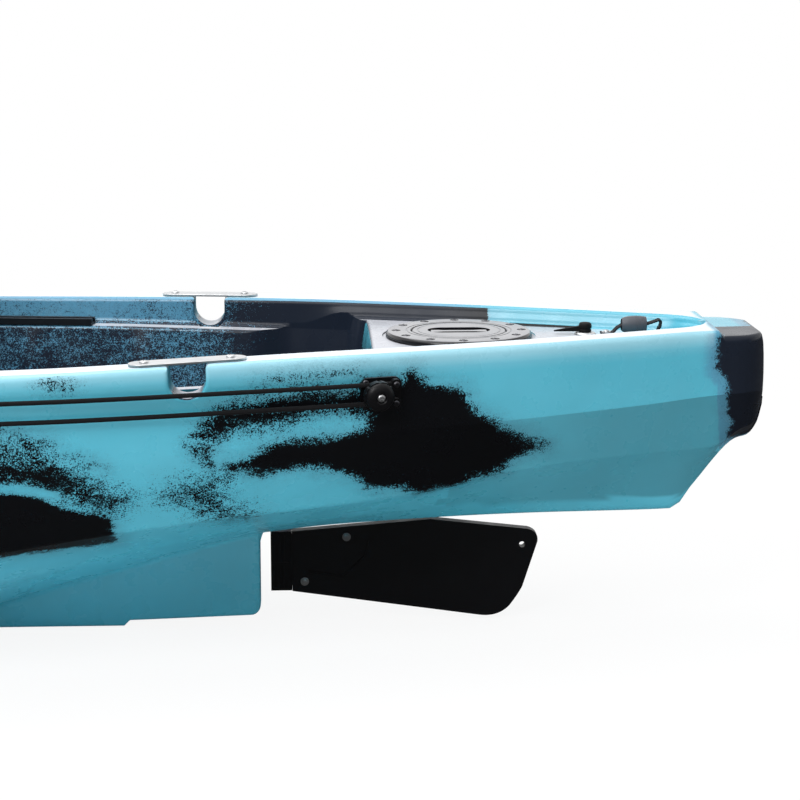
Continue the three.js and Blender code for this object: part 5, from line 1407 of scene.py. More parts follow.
def sideHolder(s, span):
    z = keeperSizes["z"]
    point = lambda v, h: Vector((v, sideAt(v, h), h))
    return along(point(s - span, z), point(s + span, z), point(s, z + 18) - point(s, z - 18)) @ at(0, 0.6, 0)


def outward(outline, y0, y1):
    points, faces = extruded(outline, y0, y1)
    return points[:, [0, 2, 1]], faces


def buildKeeper():
    k = keeperSizes
    holder = sideHolder(k["at"], 36)
    top = k["standoff"] + k["cord"] + 2
    stem = rodY(8, 0, top, 32)
    clamps = [moved(rodY(7, 0, top - 1, 32), at(-k["clampBack"], 0, side * k["spread"])) for side in (-1, 1)]
    build("keeperBase", "hull_body", *black, ["keeper_base"],
          moved(outward(roundedOutline(27, 21, 9), 0, k["base"]), at(-7)), add=[stem, *clamps], place=holder,
          edge=0.9)
    heads("keeperScrews", [(-k["clampBack"], top - 1, side * k["spread"]) for side in (-1, 1)]
          + [(14, k["base"], side * 15) for side in (-1, 1)], "hull_body", *blackScrews, holder,
          4.2, 2.4, axis=(0, 1, 0))
    foot = top + 0.3
    scallop = []
    for a in np.linspace(0, 2 * math.pi, 161)[:-1]:
        r = k["knob"] - 1.3 * max(0.0, math.cos(8 * a)) ** 4
        scallop.append((r * math.cos(a), r * math.sin(a)))
    dome = lathe([(0, 0), (18.6, 0), (18.4, 1.5), (17, 3.9), (14, 5.9), (10.5, 7.1), (9.2, 7.5), (7.6, 7.4),
                  (6.6, 6.6), (6.2, 5.2), (0, 5.2)], 64)
    crown = moved(moved(dome, turned(-90, "X")), at(0, 9, 0))
    build("keeperKnob", "hull_body", *black, ["keeper_knob"], outward(scallop, 0, 9.2),
          add=[crown], place=holder @ at(0, foot, 0), edge=1.0)
    heads("keeperKnobScrew", [(0, foot + 13.9, 0)], "hull_body", *stainless, holder, 5.2, 3.2, axis=(0, 1, 0))
    front = sideHolder(k["front"], 26)
    neck = k["spread"] - k["cord"] - 1.2
    build("keeperFrontEye", "hull_body", *black, ["keeper_front_eye"],
          outward(roundedOutline(26, 22, 10), 0, k["base"]),
          add=[rodY(neck, 0, top, 32), moved(rodY(neck + 6, 0, 3, 40), at(0, top - 0.5, 0))], place=front,
          edge=0.9)
    heads("keeperEyeScrews", [(x, k["base"], 0) for x in (-20.5, 20.5)] + [(0, top + 2.5, 0)], "hull_body",
          *blackScrews, front, 3.9, 2.2, axis=(0, 1, 0))
    point = lambda s, z: (s, sideAt(s, z) + k["standoff"] + 0.6, z)
    low, high = k["z"] - k["spread"], k["z"] + k["spread"]
    out = [k["at"] - k["clampBack"] + 1, *np.linspace(k["at"] + 10, k["front"] - 8, 40)]
    bend = [point(k["front"] + k["spread"] * math.cos(a), k["z"] + k["spread"] * math.sin(a))
            for a in np.linspace(-math.pi / 2, math.pi / 2, 15)]
    route = [point(s, low) for s in out] + bend + [point(s, high) for s in out[::-1]]
    buildCord("keeperCord", route, k["cord"], "hull_body", "shock_cord", cordBraid, ["keeper_cord"])


buildKeeper()

handleSizes = {"gripZ": 13.0, "thick": 2.2, "width": 15.0, "bore": 8.3}


def buildHandle(name, holder):
    h, label = handleSizes, name.replace("Handle", "_handle")
    z, flat = h["gripZ"], h["thick"] / 2 + 0.3
    profile = [(h["bore"], -17), (10.4, -17), (11.1, -16.2), (11.9, -12), (12.4, -6), (12.5, -2), (12.3, 4),
               (11.8, 9), (10.9, 13), (9.7, 16.2), (8.9, 17.6), (h["bore"], 18)]
    grooves = [lathe([(r, x - 0.5), (r + 2, x - 0.5), (r + 2, x + 0.5), (r, x + 0.5)], 48)
               for x, r in ((-11.5, 11.4), (-7, 11.8), (-2.5, 11.9))]
    build(f"{name}Grip", "hull_body", *paleRubber, [f"{label}_grip"],
          lathe(profile, 56), cut=grooves, place=holder @ at(0, 0, z) @ turned(90, "Y"), edge=0.3, segments=2)
    knots = [((47, flat), 0, 1), ((31, flat), 8, 5), ((24, z - 4), 8, 5), ((17, z), 6, 4), ((-15, z), 8, 4),
             ((-30, z + 5), 6, 4), ((-38, z + 8), 2.6, 6), ((-37, z - 2), 6, 4), ((-33, flat + 3), 5, 4),
             ((-38, flat), 4, 4), ((-52, flat), 0, 1)]
    path = roundedLine(knots)
    buildStrap(f"{name}Strap", path, h["thick"], h["width"], "hull_body", "webbing", webbing,
               [f"{label}_strap"], holder)
    heads(f"{name}Screws", [(39, 0, h["thick"] + 0.1), (-46, 0, h["thick"] + 0.1)], "hull_body", "webbing",
          steel, holder, 4.0, 2.6, washer=6.5)
    rows = [((x, y, flat + h["thick"] / 2), (0, 0, 1), (1, 0, 0)) for y in (-5.6, 5.6)
            for x in (-50, -46, -42, 33.5, 37.5, 41.5, 45.5)]
    buildStitches(f"{name}Stitches", rows, "hull_body", "webbing", holder)


buildHandle("sternHandle", at(183, 0, 413))
bowEnds = [(s, 0, float(sheerLine(s))) for s in (3390, 3500)]
buildHandle("bowHandle", along(*bowEnds) @ at(0, 0, 1))

plugSizes = {"at": (252, 0, 413.3)}


def buildDrainPlug():
    place = at(*plugSizes["at"])
    build("drainPlugSeat", "hull_body", "black_plastic", steel, ["drain_plug_seat"],
          lathe([(8.6, 0), (15, 0), (15, 0.8), (14.4, 1.8), (12.6, 2.8), (11.5, 3), (8.6, 3)], 48),
          place=place, edge=0.2)
    cap = lathe([(0, 0.5), (8, 0.5), (8, 4), (8.7, 4.3), (8.9, 5.4), (8.7, 6.4), (8.1, 6.9), (8.1, 7.9),
                 (8.7, 8.3), (9, 9.6), (9, 12.4), (8.5, 14.4), (7.2, 15.9), (5.2, 16.4), (0, 16.5)], 48)
    tongue = [(2, -3.5, 4), (2, 3.5, 4), (44, 1.7, 4), (44, -1.7, 4), (2, -3.5, 12.6), (2, 3.5, 12.6),
              (44, 1.7, 5.6), (44, -1.7, 5.6)]
    wedge = solid(tongue, [[0, 3, 2, 1], [4, 5, 6, 7], [0, 1, 5, 4], [1, 2, 6, 5], [2, 3, 7, 6],
                           [3, 0, 4, 7]])
    build("drainPlugCap", "plug", *rubber, ["drain_plug"], cap, add=[wedge], place=place, edge=0.5)


buildDrainPlug()
print("stage 5: keeper, handles and plug built")

rudderSizes = {"axis": 683, "headFore": 14, "headAft": -16, "headTop": 133, "headFoot": 46, "headHalf": 8.0,
               "stock": 9.0, "blade": 16.0, "tang": 6.0, "bolts": [(-34, 59), (-94, 124)], "tubeTop": 228,
               "bushRadius": 13.0, "bushFlange": 18.0, "seatZ": float(bottomLine(683)) - 4, "tiller": 14}


# Points of a curve that leaves a and reaches c along the lines to b
def bezier(a, b, c, shares):
    a, b, c = (np.array(p) for p in (a, b, c))
    return [tuple((1 - t) ** 2 * a + 2 * t * (1 - t) * b + t * t * c) for t in shares]


def bladeOutline():
    most, whole = np.linspace(0.1, 1, 10), np.linspace(0, 1, 11)
    return [(-16.3, 45), (-284, 6), *bezier((-284, 6), (-312, 2), (-328, 20), most),
            *bezier((-328, 20), (-340, 36), (-346, 48), most),
            *bezier((-367, 114), (-369, 129), (-353, 133), whole), (-213, 149), (-16.3, 133)]


def buildRudder():
    r = rudderSizes
    place = at(r["axis"])
    fore, aft, top, foot, half = r["headFore"], r["headAft"], r["headTop"], r["headFoot"], r["headHalf"]
    tang = sideways([(aft + 2, foot + 6), (-50, foot + 4), (-112, top - 14), (-108, top + 2),
                     (aft + 2, top - 6)], r["tang"])
    ribs = [block(x - 1.5, x + 1.5, -half - 1.5, half + 1.5, foot + 3, top - 3) for x in (-12, -4, 4, 10)]
    band = block(aft + 0.6, fore - 0.6, -half - 1.5, half + 1.5, foot + 38, foot + 42)
    stock = post(r["stock"], 60, r["tubeTop"] + 3.6 + r["tiller"], 48)
    holes = [moved(rodY(3.3, -20, 20), at(x, 0, z)) for x, z in r["bolts"]]
    build("rudderStock", "rudder", "black_plastic", rudderPlastic, ["rudder_stock"],
          block(aft, fore, -half, half, foot, top), add=[*ribs, band, tang, stock], cut=holes, place=place,
          edge=0.7)
    pocket = sideways([(10, foot + 1), (-52, foot), (-118, top - 18), (-114, top + 5), (-60, top + 0.5),
                       (10, top - 3)], r["tang"] + 0.6)
    seats = [moved(rodY(7.5, side * half - 0.8, side * half + 4), at(x, 0, z)) for x, z in r["bolts"]
             for side in (1, -1)]
    hollows = [moved(sideways([(-40, 74), (-88, 66), (-120, 96), (-126, 118), (-60, 112)], 3),
                     at(0, side * (half + 0.2), 0))
               for side in (1, -1)]
    tipHole = moved(rodY(4.4, -20, 20), at(-345, 0, 110))
    build("rudderBlade", "rudder", "black_plastic", rudderPlastic, ["rudder_blade"],
          sideways(bladeOutline(), r["blade"]), cut=[pocket, *holes, *seats, *hollows, tipHole], place=place,
          edge=2.6, segments=4)
    for (x, z), name in zip(r["bolts"], ("fore", "aft")):
        face = half - 0.8
        caps = [moved(rodY(6, face - 0.2, face + 1.6, 32), turned(0 if side > 0 else 180, "X"))
                for side in (1, -1)]
        base = rodY(2.9, -face - 1, face + 1)
        build(f"rudderBolt_{name}", "rudder", *stainless, [f"rudder_bolt_{name}"], base, add=caps,
              place=place @ at(x, 0, z), edge=0.3)
        for side, label in bothSides:
            heads(f"rudderBoltHead_{name}_{label}", [(x, side * (face + 1.4), z)], "rudder", *stainless,
                  place, 4.3, 3.0, axis=(0, side, 0), seed=5 + side)
    inner, body, flange, low = r["stock"] + 0.3, r["bushRadius"], r["bushFlange"], r["seatZ"] - 0.3
    build("rudderBushLower", "hull_body", *paleRubber, ["rudder_bush_lower"],
          lathe([(inner, low - 3), (flange, low - 3), (flange, low), (body, low), (body, low + 26),
                 (inner, low + 26)], 48), place=place, edge=0.4)
    high = r["tubeTop"]
    build("rudderBushUpper", "hull_body", *paleRubber, ["rudder_bush_upper"],
          lathe([(inner, high - 26), (body, high - 26), (body, high + 0.3), (flange, high + 0.3),
                 (flange, high + 3), (inner, high + 3)], 48), place=place, edge=0.4)
    yoke = moved(extruded(slotOutline(144, 20), 0, 7), turned(90, "Z"))
    eyes = [moved(post(3.2, -5, 20, 24), at(0, y, 0)) for y in (62, -62)]
    build("rudderTiller", "rudder", *blackMetal, ["rudder_tiller"], yoke, add=[post(16, 0, 12)],
          cut=[post(inner, -5, 30), *eyes], place=place @ at(0, 0, high + 3.3), edge=0.8)


buildRudder()

hatchSizes = {"lidZ": 6.6, "flange": 8.0, "overlap": 22.0, "height": 26.0, "hingeX": 326.0, "pinZ": 12.0,
              "knuckle": 7.0, "halfKnuckle": 53.5, "latchSide": 90.0, "latchReach": 22.0}


def hatchLevels(levels):
    return skin([np.column_stack([hatchOutline(grow, 12), np.full(4 * 13, z)]) for grow, z in levels])


def buildHatch():
    h = hatchSizes
    place, low = at(hullSizes["hatchFrom"], 0, hullSizes["bowDeck"]), h["lidZ"]
    build("hatchSeal", "hull_body", *rubber, ["hatch_seal"],
          extruded(hatchOutline(10), 0.3, 6.3), cut=[extruded(hatchOutline(2), -10, 40)], place=place,
          edge=1.2)
    high, grow = low + h["flange"], h["overlap"]
    shape = [(grow - 1, low), (grow, low + 1), (grow, high - 2.5), (grow - 0.7, high - 0.7),
             (grow - 2.5, high), (9, high)]
    shape += [(4 + 5 * (1 - math.sin(a)), high + 5 * (1 - math.cos(a))) for a in np.radians([15, 45, 75, 90])]
    top = low + h["height"]
    shape += [(4 - 7 * (1 - math.cos(a)), top - 7 + 7 * math.sin(a)) for a in np.radians([0, 25, 50, 75, 90])]
    shape += [(-16, top), (-19, top - 2.4), (-24, top - 2.4), (-27, top), (-60, top + 0.8)]
    bridge = block(hullSizes["hatchLength"] + grow - 4, h["hingeX"], -h["halfKnuckle"], h["halfKnuckle"],
                   low + 1.2, low + 7.2)
    knuckle = moved(rodY(h["knuckle"], -h["halfKnuckle"], h["halfKnuckle"]), at(h["hingeX"], 0, h["pinZ"]))
    under = hatchLevels([(-2, low - 1), (-2, low + 16), (-8, top - 5), (-14, top - 5)])
    hole = moved(rodY(3.3, -90, 90, 32), at(h["hingeX"], 0, h["pinZ"]))
    lid = makeSolid("hatchLid", hatchLevels(shape), [bridge, knuckle], [under, hole], place)
    soften(lid, 0.5, 2, 50)
    paintCamouflageAndLight(lid)
    finishPiece(lid, "front_hatch", "hull_plastic", hullMaterial, ["hatch_lid"])
    build("hatchPin", "hull_body", *stainless, ["hatch_pin"], rodY(3, -68, 68, 32),
          place=place @ at(h["hingeX"], 0, h["pinZ"]), edge=0.6)
    for side, name in bothSides:
        spot = place @ at(-h["overlap"] - 14, side * h["latchSide"], 0.3) @ turned(-side * 90, "Z")
        arm = moved(extruded(slotOutline(h["latchReach"] + 14, 14), high + 0.3, high + 6.3),
                    at(h["latchReach"] / 2))
        grips = [block(x, x + 1.6, -8, 8, high + 5.3, high + 9) for x in (12, 16, 20, 24)]
        build(f"hatchLatch_{name}", f"latch_{name}", *black, [f"hatch_latch_{name}"],
              post(9, 0.3, high + 0.3), add=[arm], cut=grips, place=spot, edge=0.8)
        heads(f"latchScrew_{name}", [(0, 0, high + 6.3)], f"latch_{name}", "black_plastic", steel, spot, 4.6,
              2.6)


buildHatch()


def buildRodHolders():
    s, out, z = hullSizes["rodHolderAt"], hullSizes["rodHolderSide"], hullSizes["ledgeZ"]
    for side, name in bothSides:
        lean = rodHolderPlace(side)
        collar = moved(extruded(slotOutline(92, 76), 0.3, 4.3), at(s, side * out, z))
        above = moved(block(-90, 90, -90, 90, z + 4.3, z + 90), at(s, side * out, 0))
        mouth = moved(lathe([(0, 0), (21.5, 0), (21.5, 134), (25.5, 139), (25.5, 156), (0, 156)], 64),
                      lean @ at(0, 0, -131))
        holder = makeSolid(f"rodHolder_{name}", moved(post(24, -136, 14, 64), lean), [collar], [above, mouth])
        soften(holder, 0.9, 3)
        finishPiece(holder, "hull_body", *black, [f"rod_holder_{name}"])
        heads(f"rodHolderScrews_{name}", [(s + x, side * out + y, z + 4.3)
                                          for x, y in ((38, 0), (-38, 0), (0, 32), (0, -32))],
              "hull_body", *blackScrews, None, 3.6, 2.2)


buildRodHolders()


steeringSizes = {"at": 2020, "reach": 110}


def buildSteering():
    s, reach = steeringSizes["at"], steeringSizes["reach"]
    place = at(s, float(insideRim(s)) - trackSizes["inboard"], hullSizes["ledgeZ"] + 0.3)
    build("steeringBracket", "hull_body", *black, ["steering_bracket"],
          extruded(slotOutline(66, 24), 0, 8), add=[post(5.5, 0, 26)], place=place, edge=1.0)
    heads("steeringScrews", [(x, 0, 8) for x in (-24, 24)], "hull_body", *blackScrews, place, 4.2, 2.4)
    arm = moved(extruded(slotOutline(reach + 16, 14), 2, 9), at(reach / 2))
    knob = moved(lathe([(0, 4), (10, 4), (11, 7), (12, 12), (11.7, 17), (10.4, 22), (7.6, 26), (4, 27.7),
                        (0, 28)], 48), at(reach))
    flutes = [moved(post(2.2, 2, 30, 16), at(reach + 13 * math.cos(a), 13 * math.sin(a)))
              for a in np.linspace(0, 2 * math.pi, 13)[:-1]]
    build("steeringHandle", "steering_lever", *black, ["steering_handle"],
          post(13, 0, 12), add=[arm, knob], cut=[post(5.8, -5, 40), *flutes],
          place=place @ at(0, 0, 8.3) @ turned(-90, "Z"), edge=0.7)


buildSteering()
print("stage 6: rudder, hatch, rod holders and steering built")

seatSizes = {"at": (1372, 0, 300.3), "length": 400.0, "width": 460.0, "tube": 22.0, "pivot": (16, 105),
             "lean": 12.0, "backHalf": 172.0, "backMiddle": 158.0, "pad": (370, 444, 46, 10),
             "rest": (252, 444, 26, 8)}


# Ring of square tube with rounded edges, in the plane of its outline
def tubeLoop(halfX, halfY, corner, wide):
    path = roundedOutline(halfX - wide / 2, halfY - wide / 2, corner - wide / 2, 12)
    cross = roundedOutline(wide / 2, wide / 2, 6.5, 5)
    rings = []
    for i, (x, y) in enumerate(path):
        ahead, behind = np.array(path[(i + 1) % len(path)]), np.array(path[i - 1])
        run = ahead - behind
        run /= np.linalg.norm(run)
        rings.append([(x + run[1] * u, y - run[0] * u, v + wide / 2) for u, v in cross])
    return skin(rings, closed=True)


# Stuffed cushion: a puffed pad, drawn in along its channels, with piping and stitches on the seams
def buildCushion(name, sizes, body, node, place, channels, seed):
    longWay, wide, thick, crown = sizes
    halfX, halfY = longWay / 2, wide / 2
    outline = np.array(roundedOutline(halfX - 5, halfY - 4, 34, 8))
    levels = [(-10, 1.0), (-4, 2.0), (-0.5, 5.0), (0, 0.34 * thick), (0, 0.6 * thick), (-2, 0.8 * thick),
              (-9, 0.93 * thick)]
    rings = []
    for inset, z in levels:
        scale = np.array([1 + inset / halfX, 1 + inset / halfY])
        rings.append(np.column_stack([outline * scale, np.full(len(outline), z)]))
    obj = makeObject(name, skin(rings), place)
    faceOutwards(obj)
    remesh = obj.modifiers.new("remesh", "REMESH")
    remesh.mode, remesh.voxel_size = "VOXEL", 0.0058
    settle(obj)
    m = np.array((toWorld @ place).inverted())
    localPoints = lambda: readAll(obj.data.vertices, "co", 3) @ m[:3, :3].T + m[:3, 3]
    points = localPoints()
    x, y, z = points.T
    edgeX, edgeY = np.abs(x) / halfX, np.abs(y) / halfY
    rim = (np.maximum(edgeX, edgeY) > 0.965) & (z < 0.45 * thick)
    seam = np.zeros(len(points), bool)
    for cx in channels:
        seam |= (np.abs(x - cx) < 3.6) & (np.abs(y) < halfY - 26) & (z > 0.7 * thick)
    pins = obj.vertex_groups.new(name="pins")
    pins.add([int(i) for i in np.nonzero(rim | seam | (z < 2.4))[0]], 1.0, "REPLACE")
    modifier = obj.modifiers.new("stuffing", "CLOTH")
    stuffing = modifier.settings
    stuffing.quality, stuffing.mass = 4, 0.2
    stuffing.tension_stiffness = stuffing.compression_stiffness = 18
    stuffing.bending_stiffness = 1.4
    stuffing.use_pressure, stuffing.uniform_pressure_force = True, 3.2
    stuffing.effector_weights.gravity = 0
    stuffing.vertex_group_mass = "pins"
    modifier.point_cache.frame_start, modifier.point_cache.frame_end = 1, 18
    for step in range(1, 19):
        scene.frame_set(step)
    settle(obj)
    scene.frame_set(1)
    points = points + np.clip(localPoints() - points, -crown * 1.1, crown * 1.1)
    x, y, z = points.T
    upper = ramp(0.45 * thick, 0.8 * thick, z)
    dip = sum(3.4 * np.exp(-((x - cx) / 4.2) ** 2) for cx in channels)
    pleat = 0.35 * np.sin(y / 7.3 + 2.1 * np.sin(y / 31 + seed)) * np.exp(-(np.minimum.reduce(
        [np.abs(x - cx) for cx in channels]) / 16) ** 2)
    points[:, 2] = z - (dip * ramp(0, 24, halfY - 14 - np.abs(y)) + pleat) * upper
    world = np.array(toWorld @ place)
    back = points @ world[:3, :3].T + world[:3, 3]
    obj.data.vertices.foreach_set("co", back.ravel())
    obj.vertex_groups.clear()
    obj.data.update()
    smooth = obj.modifiers.new("smooth", "SMOOTH")
    smooth.factor, smooth.iterations = 0.5, 3
    settle(obj)
    fine = obj.modifiers.new("fine", "SUBSURF")
    fine.levels = fine.render_levels = 1
    settle(obj)
    points = localPoints()
    setFlow(obj, np.column_stack([points[:, 0], points[:, 1] + 0.6 * points[:, 2], points[:, 2]]))
    obj.data.shade_smooth()
    finishPiece(obj, body, "mesh_cloth", meshCloth, [node])
    for edge, high in (("Low", 0.16 * thick), ("High", 0.80 * thick)):
        out = 1.0 if edge == "Low" else -0.6
        grown = outline * np.array([1 + out / halfX, 1 + out / halfY])
        line = np.column_stack([grown, np.full(len(grown), high)])
        buildCord(f"{name}Piping{edge}", line, 2.3, body, "mesh_cloth", webbing, sides=10, place=place,
                  closed=True)
    top = points[points[:, 2] > 0.6 * thick]
    rows = []
    for cx in channels:
        for py in np.arange(-halfY + 34, halfY - 33, 6.5):
            near = top[np.argmin((top[:, 0] - cx) ** 2 + (top[:, 1] - py) ** 2)]
            rows.append(((cx, py, near[2]), (0, 0, 1), (0, 1, 0)))
    buildStitches(f"{name}Stitches", rows, body, "mesh_cloth", place)


def buildSeat():
    d = seatSizes
    place, tubeWide = at(*d["at"]), d["tube"]
    halfX, halfY = d["length"] / 2, d["width"] / 2
    px, pz = d["pivot"]
    lugShape = [(px - 12, tubeWide / 2), (px + 40, tubeWide / 2), (px + 12, pz)]
    lugShape += arc(px, pz, 12, 0, 180, 12)[1:]
    lugs = [moved(sideways(lugShape, 6), at(0, side * (halfY - 3), 0)) for side in (1, -1)]
    bar = block(halfX - 11, halfX + 11, -halfY + 8, halfY - 8, 0, 12)
    hole = moved(rodY(4.3, -300, 300, 32), at(px, 0, pz))
    build("seatFrame", "hull_body", *bareMetal, ["seat_frame"],
          moved(tubeLoop(halfX, halfY, 40, tubeWide), at(halfX)), add=[bar, *lugs], cut=[hole], place=place,
          edge=0.7, segments=2)
    back = place @ at(px, 0, pz) @ turned(-d["lean"], "Y")
    upright = at(0, 0, d["backMiddle"]) @ turned(-90, "Y") @ at(0, 0, -tubeWide / 2)
    pivots = [rodY(4, side * (halfY - 10) - 12, side * (halfY - 10) + 12, 32) for side in (1, -1)]
    cross = [moved(rodY(6, -halfY + 16, halfY - 16, 24), at(0, 0, z)) for z in (110, 232)]
    build("backrestFrame", "backrest", *bareMetal, ["backrest_frame"],
          moved(tubeLoop(d["backHalf"], halfY - 7, 40, tubeWide), upright), add=[*pivots, *cross], place=back,
          edge=0.7, segments=2)
    buildCushion("seatCushion", d["pad"], "hull_body", "seat_cushion",
                 place @ at(halfX + 16, 0, tubeWide + 0.3), (-96, 0, 96), 1)
    lay = back @ at(tubeWide / 2 + 0.3, 0, 196) @ turned(90, "Y")
    buildCushion("backrestCushion", d["rest"], "backrest", "backrest_cushion", lay, (-62, 0, 62), 2)


buildSeat()
print("stage 7: seat built")

driveSizes = {"at": (2330, 0, 215), "legX": -147.0, "crank": 262.0, "prop": -345.0, "legTop": 208.0,
              "legFoot": -300.7, "shellHalf": 30.0, "arm": 22.0, "crankLength": 165.0, "tread": 92.0,
              "pod": 34.0}


def ellipse(a, b, steps=56):
    return [(a * math.cos(t), b * math.sin(t)) for t in np.linspace(0, 2 * math.pi, steps, endpoint=False)]


def shellShape(radius, halfNeck, drop):
    d = driveSizes
    return ([(d["legX"] - halfNeck, d["crank"] - drop), (d["legX"] + halfNeck, d["crank"] - drop)]
            + arc(d["legX"], d["crank"], radius, -50.4, 230.4, 40))


def buildDrive():
    d = driveSizes
    dock = at(*d["at"])
    unit = dock @ turned(90, "Y")
    legX, crank, prop, shellHalf = d["legX"], d["crank"], d["prop"], d["shellHalf"]
    cavity = sideways(shellShape(39, 20, 52), 2 * (shellHalf - 8))
    legGap = moved(extruded(ellipse(28.3, 15.3), 0, crank - 50), at(legX))
    bore = moved(rodY(8.3, -60, 60, 48), at(legX, 0, crank))
    panels = [moved(sideways(shellShape(34, 18, 62), 2.4), at(0, side * shellHalf, 0)) for side in (1, -1)]
    for side, name in bothSides:
        other = block(legX - 200, legX + 200, -100 if side > 0 else -0.15, 0.15 if side > 0 else 100,
                      crank - 200, crank + 200)
        ring = moved(rodY(15, shellHalf - 3, shellHalf + 1.4, 48), at(legX, 0, crank))
        ring = ring if side > 0 else moved(ring, Matrix.Scale(-1, 4, (0, 1, 0)))
        shell = makeSolid(f"driveShell_{name}", sideways(shellShape(47, 34, 96), 2 * shellHalf), (),
                          [panels[0 if side > 0 else 1]], unit)
        boolean(shell, [moved(ring, unit)], "UNION")
        boolean(shell, [moved(t, unit) for t in (cavity, legGap, bore, other)], "DIFFERENCE")
        soften(shell, 1.4, 3)
        finishPiece(shell, "drive_unit", *black, [f"drive_shell_{name}"])
        y = side * shellHalf
        spots = [(legX + 43 * math.cos(a), y, crank + 43 * math.sin(a))
                 for a in np.radians([-20, 35, 90, 145, 200])]
        spots += [(legX + dx, y, crank - 88) for dx in (-26, 26)]
        heads(f"driveShellScrews_{name}", spots, "drive_unit", "black_plastic", steel, unit, 2.9, 1.8,
              axis=(0, side, 0))
    build("driveLeg", "drive_unit", *bareMetal, ["drive_leg"],
          moved(extruded(ellipse(28, 15), d["legFoot"], d["legTop"]), at(legX)),
          cut=[moved(post(8, -450, 450), at(legX))], place=unit, edge=0.6)
    shape = [(legX - 37, -17), (0, -17)] + arc(0, 0, 17, -90, 90, 16)[1:] + [(legX + 30, 26), (legX - 37, 26)]
    web = sideways([(legX + 38, -9), (-22, -9), (-22, 6), (legX + 38, 17)], 4)
    pockets = [moved(web, at(0, side * (d["arm"] + 0.2), 0)) for side in (1, -1)]
    build("driveArm", "drive_unit", *blackMetal, ["drive_arm"], sideways(shape, 2 * d["arm"]),
          cut=[moved(extruded(ellipse(28.3, 15.3), -60, 60), at(legX)), rodY(6.3, -60, 60), *pockets],
          place=unit, edge=1.2)
    heads("driveArmScrews", [(legX + 33, d["arm"], 4)], "drive_unit", "black_alloy", steel, unit,
          4.5, 2.6, axis=(0, 1, 0))
    baseZ = hullSizes["footwellFloor"] + 0.3 - d["at"][2]
    cheek = [(-40, baseZ), (46, baseZ)] + arc(0, 0, 18, 18, 162, 14)
    cheeks = [moved(sideways(cheek, 8), at(0, side * (d["arm"] + 4.6), 0)) for side in (1, -1)]
    foot = moved(extruded(roundedOutline(44, 62, 12), baseZ, baseZ + 6), at(4))
    build("driveDock", "hull_body", *bareMetal, ["drive_dock"], foot,
          add=[*cheeks, rodY(6, -36, 36)], place=dock, edge=0.7)
    heads("driveDockScrews", [(4 + x, y, baseZ + 6) for x in (-34, 34) for y in (-50, 50)], "hull_body",
          "aluminium", steel, dock, 5.2, 3.2)
    pod = d["pod"]
    outer = lathe([(0, 74), (7, 73), (14, 70), (20, 63), (26, 54), (31, 40), (pod, 26), (pod, -28),
                   (31.5, -39), (27, -54), (22, -66), (0, -66)], 64)
    inner = lathe([(0, 40), (18, 36), (30, 24), (30, -26), (18, -50), (0, -50)], 48)
    neck = extruded(ellipse(28, 15), 0, 44)
    grooves = lathe([(pod - 0.9, -1), (pod + 3, -1), (pod + 3, 1), (pod - 0.9, 1)], 64)
    lie = turned(90, "Y")
    build("drivePod", "drive_unit", *blackMetal, ["drive_pod"], moved(outer, lie), add=[neck],
          cut=[moved(inner, lie), post(6.6, 0, 80), rodX(6.6, -90, 0), moved(grooves, lie)],
          place=unit @ at(legX, 0, prop), edge=0.8)
    spin = unit @ at(legX, 0, crank)
    build("crankShaft", "crank", *stainless, ["crank_shaft"], rodY(8, -45, 45), place=spin, edge=0.6)
    armThick, armFrom, tread, reach = 10, shellHalf + 4, d["tread"], d["crankLength"]
    for side, name in bothSides:
        middle = side * (armFrom + armThick / 2)
        bar = moved(sideways(slotOutline(reach + 30, 28), armThick),
                    at(0, middle, side * reach / 2) @ turned(-90, "Y"))
        spindle = moved(rodY(6, min(0, side * (tread + armThick)), max(0, side * (tread + armThick))),
                        at(0, middle, side * reach))
        hollow = moved(sideways(slotOutline(reach - 44, 13), 4),
                       at(0, middle + side * armThick / 2, side * reach / 2) @ turned(-90, "Y"))
        build(f"crankArm_{name}", "crank", *bareMetal, [f"crank_arm_{name}"], bar, add=[spindle],
              cut=[rodY(8.3, -60, 60), hollow], place=spin, edge=1.0)
        hub = spin @ at(0, side * (armFrom + armThick + 1 + tread / 2), side * reach)
        windows = [moved(block(-20, 20, -tread / 2 + 12, tread / 2 - 12, -11, 11), at(0, 0, end * 24))
                   for end in (-1, 1)]
        build(f"pedal_{name}Body", f"{name}_pedal", *black, [f"pedal_{name}"],
              block(-10, 10, -tread / 2, tread / 2, -44, 44), cut=[*windows, rodY(6.3, -80, 80)], place=hub,
              edge=2.2)
        stud = makeSolid("stud", lathe([(0, -0.5), (2.2, -0.5), (2.0, 0.7), (1.4, 1.5), (0, 1.6)], 14),
                         place=at(hullLength / 2))
        grid = [((sx * 10, y, z), (sx, 0, 0), (0, 1, 0)) for sx in (1, -1) for y in np.linspace(-38, 38, 7)
                for z in (-40, 0, 40)]
        grid += [((sx * 10, y, z), (sx, 0, 0), (0, 1, 0)) for sx in (1, -1) for y in (-40, 40)
                 for z in (-24, 24)]
        repeatPart(f"pedal_{name}Studs", stud, grid, f"{name}_pedal", *black, hub)
        discard(stud)
    bladeRings = []
    for t in np.linspace(0, 1, 15):
        r = 13 + 107 * t
        chord = 22 + 26 * math.sin(math.pi * min(1, 0.15 + 0.8 * t)) * (1 - 0.35 * t)
        chord *= math.sqrt(max(0.12, 1 - max(0.0, (t - 0.88) / 0.13) ** 2))
        pitch = math.atan2(150, 2 * math.pi * (r + 12))
        ring = []
        for a in np.linspace(0, 2 * math.pi, 28, endpoint=False):
            flat, out = chord / 2 * math.cos(a), (3.4 - 2 * t) * math.sin(a)
            ring.append((flat * math.sin(pitch) + out * math.cos(pitch),
                         flat * math.cos(pitch) - out * math.sin(pitch), r))
        bladeRings.append(ring)
